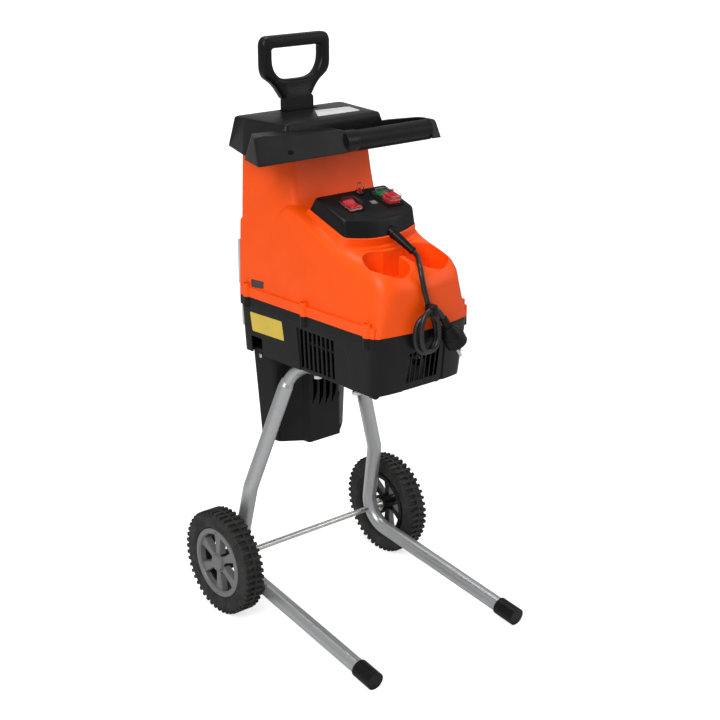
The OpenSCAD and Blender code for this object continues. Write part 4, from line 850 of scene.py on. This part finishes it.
class SHREDDER_OT_lead(bpy.types.Operator):
    """Lay the mains lead from the strain relief into its tied loops and out to the plug"""
    bl_idname = "shredder.lead"
    bl_label = "Mains lead"

    def execute(self, context):
        route = lead_route()
        data = bpy.data.curves.new("mains_lead", "CURVE")
        data.dimensions = "3D"
        data.bevel_depth = sizes().lead_d / 2
        data.bevel_resolution = 3
        data.resolution_u = 1
        data.use_fill_caps = True
        spline = data.splines.new("POLY")
        spline.points.add(len(route) - 1)
        for point, place in zip(spline.points, route):
            point.co = (*place, 1)
        data.materials.append(FINISH["lead_rubber"])
        lead = bpy.data.objects.new("mains_lead", data)
        context.scene.collection.objects.link(lead)
        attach(lead, "body")
        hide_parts("mains_cord", "cord_hank")
        band = tie_band()
        paint("dark_plastic", "plug", "strain_relief")
        paint("zinc", "plug_pins")
        return {"FINISHED"}


class SHREDDER_OT_housings(bpy.types.Operator):
    """Finish the orange and black housings and the covers at the back"""
    bl_idname = "shredder.housings"
    bl_label = "Housings"

    def execute(self, context):
        dressed("upper_housing", "orange_shell", angle=25)
        dressed("lower_housing", "black_shell")
        dressed("rear_cover", "grey_plastic")
        plate("side_plate", "lower_housing",
              [(-103, 14, 511), (-103, -67, 513), (-103, -71, 481), (-103, 10, 479)],
              (-1, 0, 0), "yellow_plate", corner_r=2.5)
        plate("small_side_plate", "upper_housing",
              [(-103, 10, 567), (-103, -22, 569), (-103, -22, 557), (-103, 8, 554)],
              (-1, 0, 0), "dark_plate", corner_r=2)
        return {"FINISHED"}


class SHREDDER_OT_hopper(bpy.types.Operator):
    """Finish the collar, its grip, the plunger and the funnel"""
    bl_idname = "shredder.hopper"
    bl_label = "Hopper"

    def execute(self, context):
        dressed("hopper_collar", "black_shell", angle=28)
        dressed("plunger", "black_shell", angle=40)
        dressed("carry_grip", "grip")
        paint("dark_plastic", "feed_funnel")
        plate("collar_plate", "hopper_collar",
              [(10, -16, 829), (76, -22, 829), (68, -59, 829), (-17, -58, 829)],
              (0, 0, 1), "pale_plate", corner_r=4)
        return {"FINISHED"}


PANEL_TILT = math.radians(19)
PANEL_UP = (0, -math.sin(PANEL_TILT), math.cos(PANEL_TILT))


def on_panel(x, down, above=24):
    """A place on the tilted switch panel, in mm from the axle."""
    return (x, -104 - down * math.cos(PANEL_TILT) - above * math.sin(PANEL_TILT),
            699 - down * math.sin(PANEL_TILT) + above * math.cos(PANEL_TILT))


class SHREDDER_OT_controls(bpy.types.Operator):
    """Finish the control box, its switches and their clear covers"""
    bl_idname = "shredder.controls"
    bl_label = "Controls"

    def execute(self, context):
        dressed("control_box", "black_shell")
        paint("dark_plastic", "switch_panel")
        paint("red_plastic", "rocker_switch", "stop_button", "reset_button")
        paint("green_plastic", "start_button")
        paint("clear_cover", "rocker_cover", "start_stop_cover", "reset_cap")
        plate("panel_plate", "control_box",
              [on_panel(9, 42), on_panel(9, 51), on_panel(20, 51), on_panel(20, 42)],
              PANEL_UP, "silver_plate", corner_r=0.6)
        return {"FINISHED"}


class SHREDDER_OT_stand(bpy.types.Operator):
    """Finish the legs, the rails, their caps and bolts, the axle and the washers"""
    bl_idname = "shredder.stand"
    bl_label = "Stand"

    def execute(self, context):
        for node in ("left_leg", "right_leg", "left_rail", "right_rail"):
            dressed(node, "stand_paint", angle=50)
        for node in ("foot_caps", "rail_caps"):
            dressed(node, "dark_plastic", angle=40)
        dressed("axle", "zinc", angle=40)
        paint("zinc", "rail_bolts", "rail_nuts", "axle_washers")
        return {"FINISHED"}


RIM_RIBS = {"Spokes": 6, "Hub radius": 0.019, "Ring radius": 0.0525,
            "Hub half width": 0.0042, "Ring half width": 0.0088, "Thickness": 0.0022}
FACE_INSET = 0.0055         # from the tyre's side to the outer face of the ribs
# Inward of these edges the rim and its ribs get the dark moulding colour as painted shade for the
# shadowed inside of the wheel.
RIM_SHADE_EDGE = 0.004       # from the middle of the wheel outwards, the rim is grey
RIBS_SHADE_EDGE = -0.002


def paint_inner_shade(mesh, middle, outward, from_middle):
    """Painted shade: the inner half of a wheel gets the dark moulding colour, behind the grey of
    its face.
    """
    mesh.materials.append(FINISH["dark_plastic"])
    for f in mesh.polygons:
        if (f.center.x - middle) * outward < from_middle:
            f.material_index = 1


class SHREDDER_OT_wheels(bpy.types.Operator):
    """Finish the tyres, the rims and the hub caps"""
    bl_idname = "shredder.wheels"
    bl_label = "Wheels"

    def execute(self, context):
        tread, ribs_of = tyre_tree(), rib_tree()
        for side, outward in (("left", -1), ("right", 1)):
            node = side + "_tyre"
            low, high = (Vector(c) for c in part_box(node))
            centre, width = (low + high) / 2, high.x - low.x
            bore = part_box(side + "_rim")
            mesh = grown(node + "_tread", tread, {
                "Radius": (high.z - low.z) / 2, "Bore radius": (bore[1][2] - bore[0][2]) / 2,
                "Width": width, "Lug depth": sizes().lug_depth, "Lugs": sizes().lug_count,
                "Centre": centre, "Finish": FINISH["tyre"]})
            smooth(mesh, 35)
            finished(node + "_tread", mesh, BODY_OF[node], "tyre", node)
            rim = dressed(side + "_rim", "rim_plastic", angle=35)
            # painted shade: the inner half of the rim gets the dark moulding colour
            paint_inner_shade(rim.data, centre.x, outward, RIM_SHADE_EDGE)
            ribs = grown(side + "_rim_ribs", ribs_of, {
                **RIM_RIBS, "Depth": sizes().spoke_depth, "Face": width / 2 - FACE_INSET,
                "Outward": float(outward), "Centre": centre, "Finish": FINISH["rim_plastic"]})
            outside(ribs)
            finished(side + "_rim_ribs", ribs, BODY_OF[side + "_rim"], "rim_plastic")
            # painted shade: the inner ends of the ribs get the dark moulding colour
            paint_inner_shade(ribs, centre.x, outward, RIBS_SHADE_EDGE)
            dressed(side + "_hub_cap", "rim_plastic", angle=35)
        return {"FINISHED"}


class SHREDDER_OT_chute(bpy.types.Operator):
    """Finish the discharge chute"""
    bl_idname = "shredder.chute"
    bl_label = "Discharge chute"

    def execute(self, context):
        dressed("discharge_chute", "black_shell")
        return {"FINISHED"}


class SHREDDER_OT_inside(bpy.types.Operator):
    """Finish the cutting unit and the motor"""
    bl_idname = "shredder.inside"
    bl_label = "Cutting unit"

    def execute(self, context):
        paint("dark_steel", "bearing_plate")
        paint("machine_steel", "motor", "motor_rotor", "spindle", "cutter_disc",
              "blade_screws")
        paint("blade_steel", "cutter_blades", "counter_blade")
        paint("belt_rubber", "drive_belt")
        return {"FINISHED"}


SHANK_D = 4 * MM


def seats(node, head_h, axis):
    """Where the heads of a node's screws sit, from its separate shells."""
    bm = merged(node)
    left, out = set(bm.verts), []
    while left:
        shell, edge = set(), [left.pop()]
        while edge:
            v = edge.pop()
            shell.add(v)
            edge += [w for w in (e.other_vert(v) for e in v.link_edges) if w in left]
            left -= set(edge)
        low = Vector(min(v.co[k] for v in shell) for k in range(3))
        high = Vector(max(v.co[k] for v in shell) for k in range(3))
        middle = (low + high) / 2
        way = axis or Vector((math.copysign(1, middle.x), 0, 0))
        reach = max((v.co - middle).dot(way) for v in shell)
        out.append(middle + way * (reach - head_h))
    bm.free()
    return out


class SHREDDER_OT_fasteners(bpy.types.Operator):
    """Put heads with a cross recess on the screws"""
    bl_idname = "shredder.fasteners"
    bl_label = "Screws"

    def execute(self, context):
        tree = screw_tree()
        up, back = Vector((0, 0, 1)), Vector((0, 1, 0))
        # finish, height of the head, length of the shank, axis or None for away from the middle
        screws = {"seam_screws": ("zinc", 0.003, 0.022, up),
                  "rear_cover_screws": ("zinc", 0.0025, 0.005, back),
                  "chute_screws": ("zinc", 0.0025, 0.0024, None),
                  "handle_screws": ("dark_plastic", 0.002, 0.006, -back)}
        for node, (finish, high, long, axis) in screws.items():
            points = [(seat, axis or Vector((math.copysign(1, seat.x), 0, 0)))
                      for seat in seats(node, high, axis)]
            mesh = grown(node + "_set", tree, {
                "Head diameter": sizes().screw_head, "Head height": high,
                "Shank diameter": SHANK_D, "Shank length": long,
                "Finish": FINISH[finish]}, points)
            smooth(mesh, 35)
            finished(node + "_set", mesh, BODY_OF[node], finish, node)
        return {"FINISHED"}


STEPS = [SHREDDER_OT_stage, SHREDDER_OT_lead, SHREDDER_OT_housings, SHREDDER_OT_hopper,
         SHREDDER_OT_controls, SHREDDER_OT_stand, SHREDDER_OT_wheels, SHREDDER_OT_chute,
         SHREDDER_OT_inside, SHREDDER_OT_fasteners]


class SHREDDER_PT_panel(bpy.types.Panel):
    """The shredder's sizes, colours and pieces"""
    bl_idname = "SHREDDER_PT_panel"
    bl_label = "Garden shredder"
    bl_space_type = "VIEW_3D"
    bl_region_type = "UI"
    bl_category = "Shredder"

    def draw(self, context):
        for group in (sizes(), colours()):
            box = self.layout.box()
            for key in type(group).__annotations__:
                box.prop(group, key)
        for step in STEPS:
            self.layout.operator(step.bl_idname)


CLASSES = [ShredderSizes, ShredderColours, *STEPS, SHREDDER_PT_panel]


def register():
    for cls in CLASSES:
        bpy.utils.register_class(cls)
    bpy.types.Scene.shredder_sizes = bpy.props.PointerProperty(type=ShredderSizes)
    bpy.types.Scene.shredder_colours = bpy.props.PointerProperty(type=ShredderColours)


def unregister():
    del bpy.types.Scene.shredder_colours
    del bpy.types.Scene.shredder_sizes
    for cls in reversed(CLASSES):
        bpy.utils.unregister_class(cls)


def main():
    register()
    make_finishes()
    for step in STEPS:
        group, name = step.bl_idname.split(".")
        getattr(getattr(bpy.ops, group), name)()


if __name__ == "__main__":
    main()
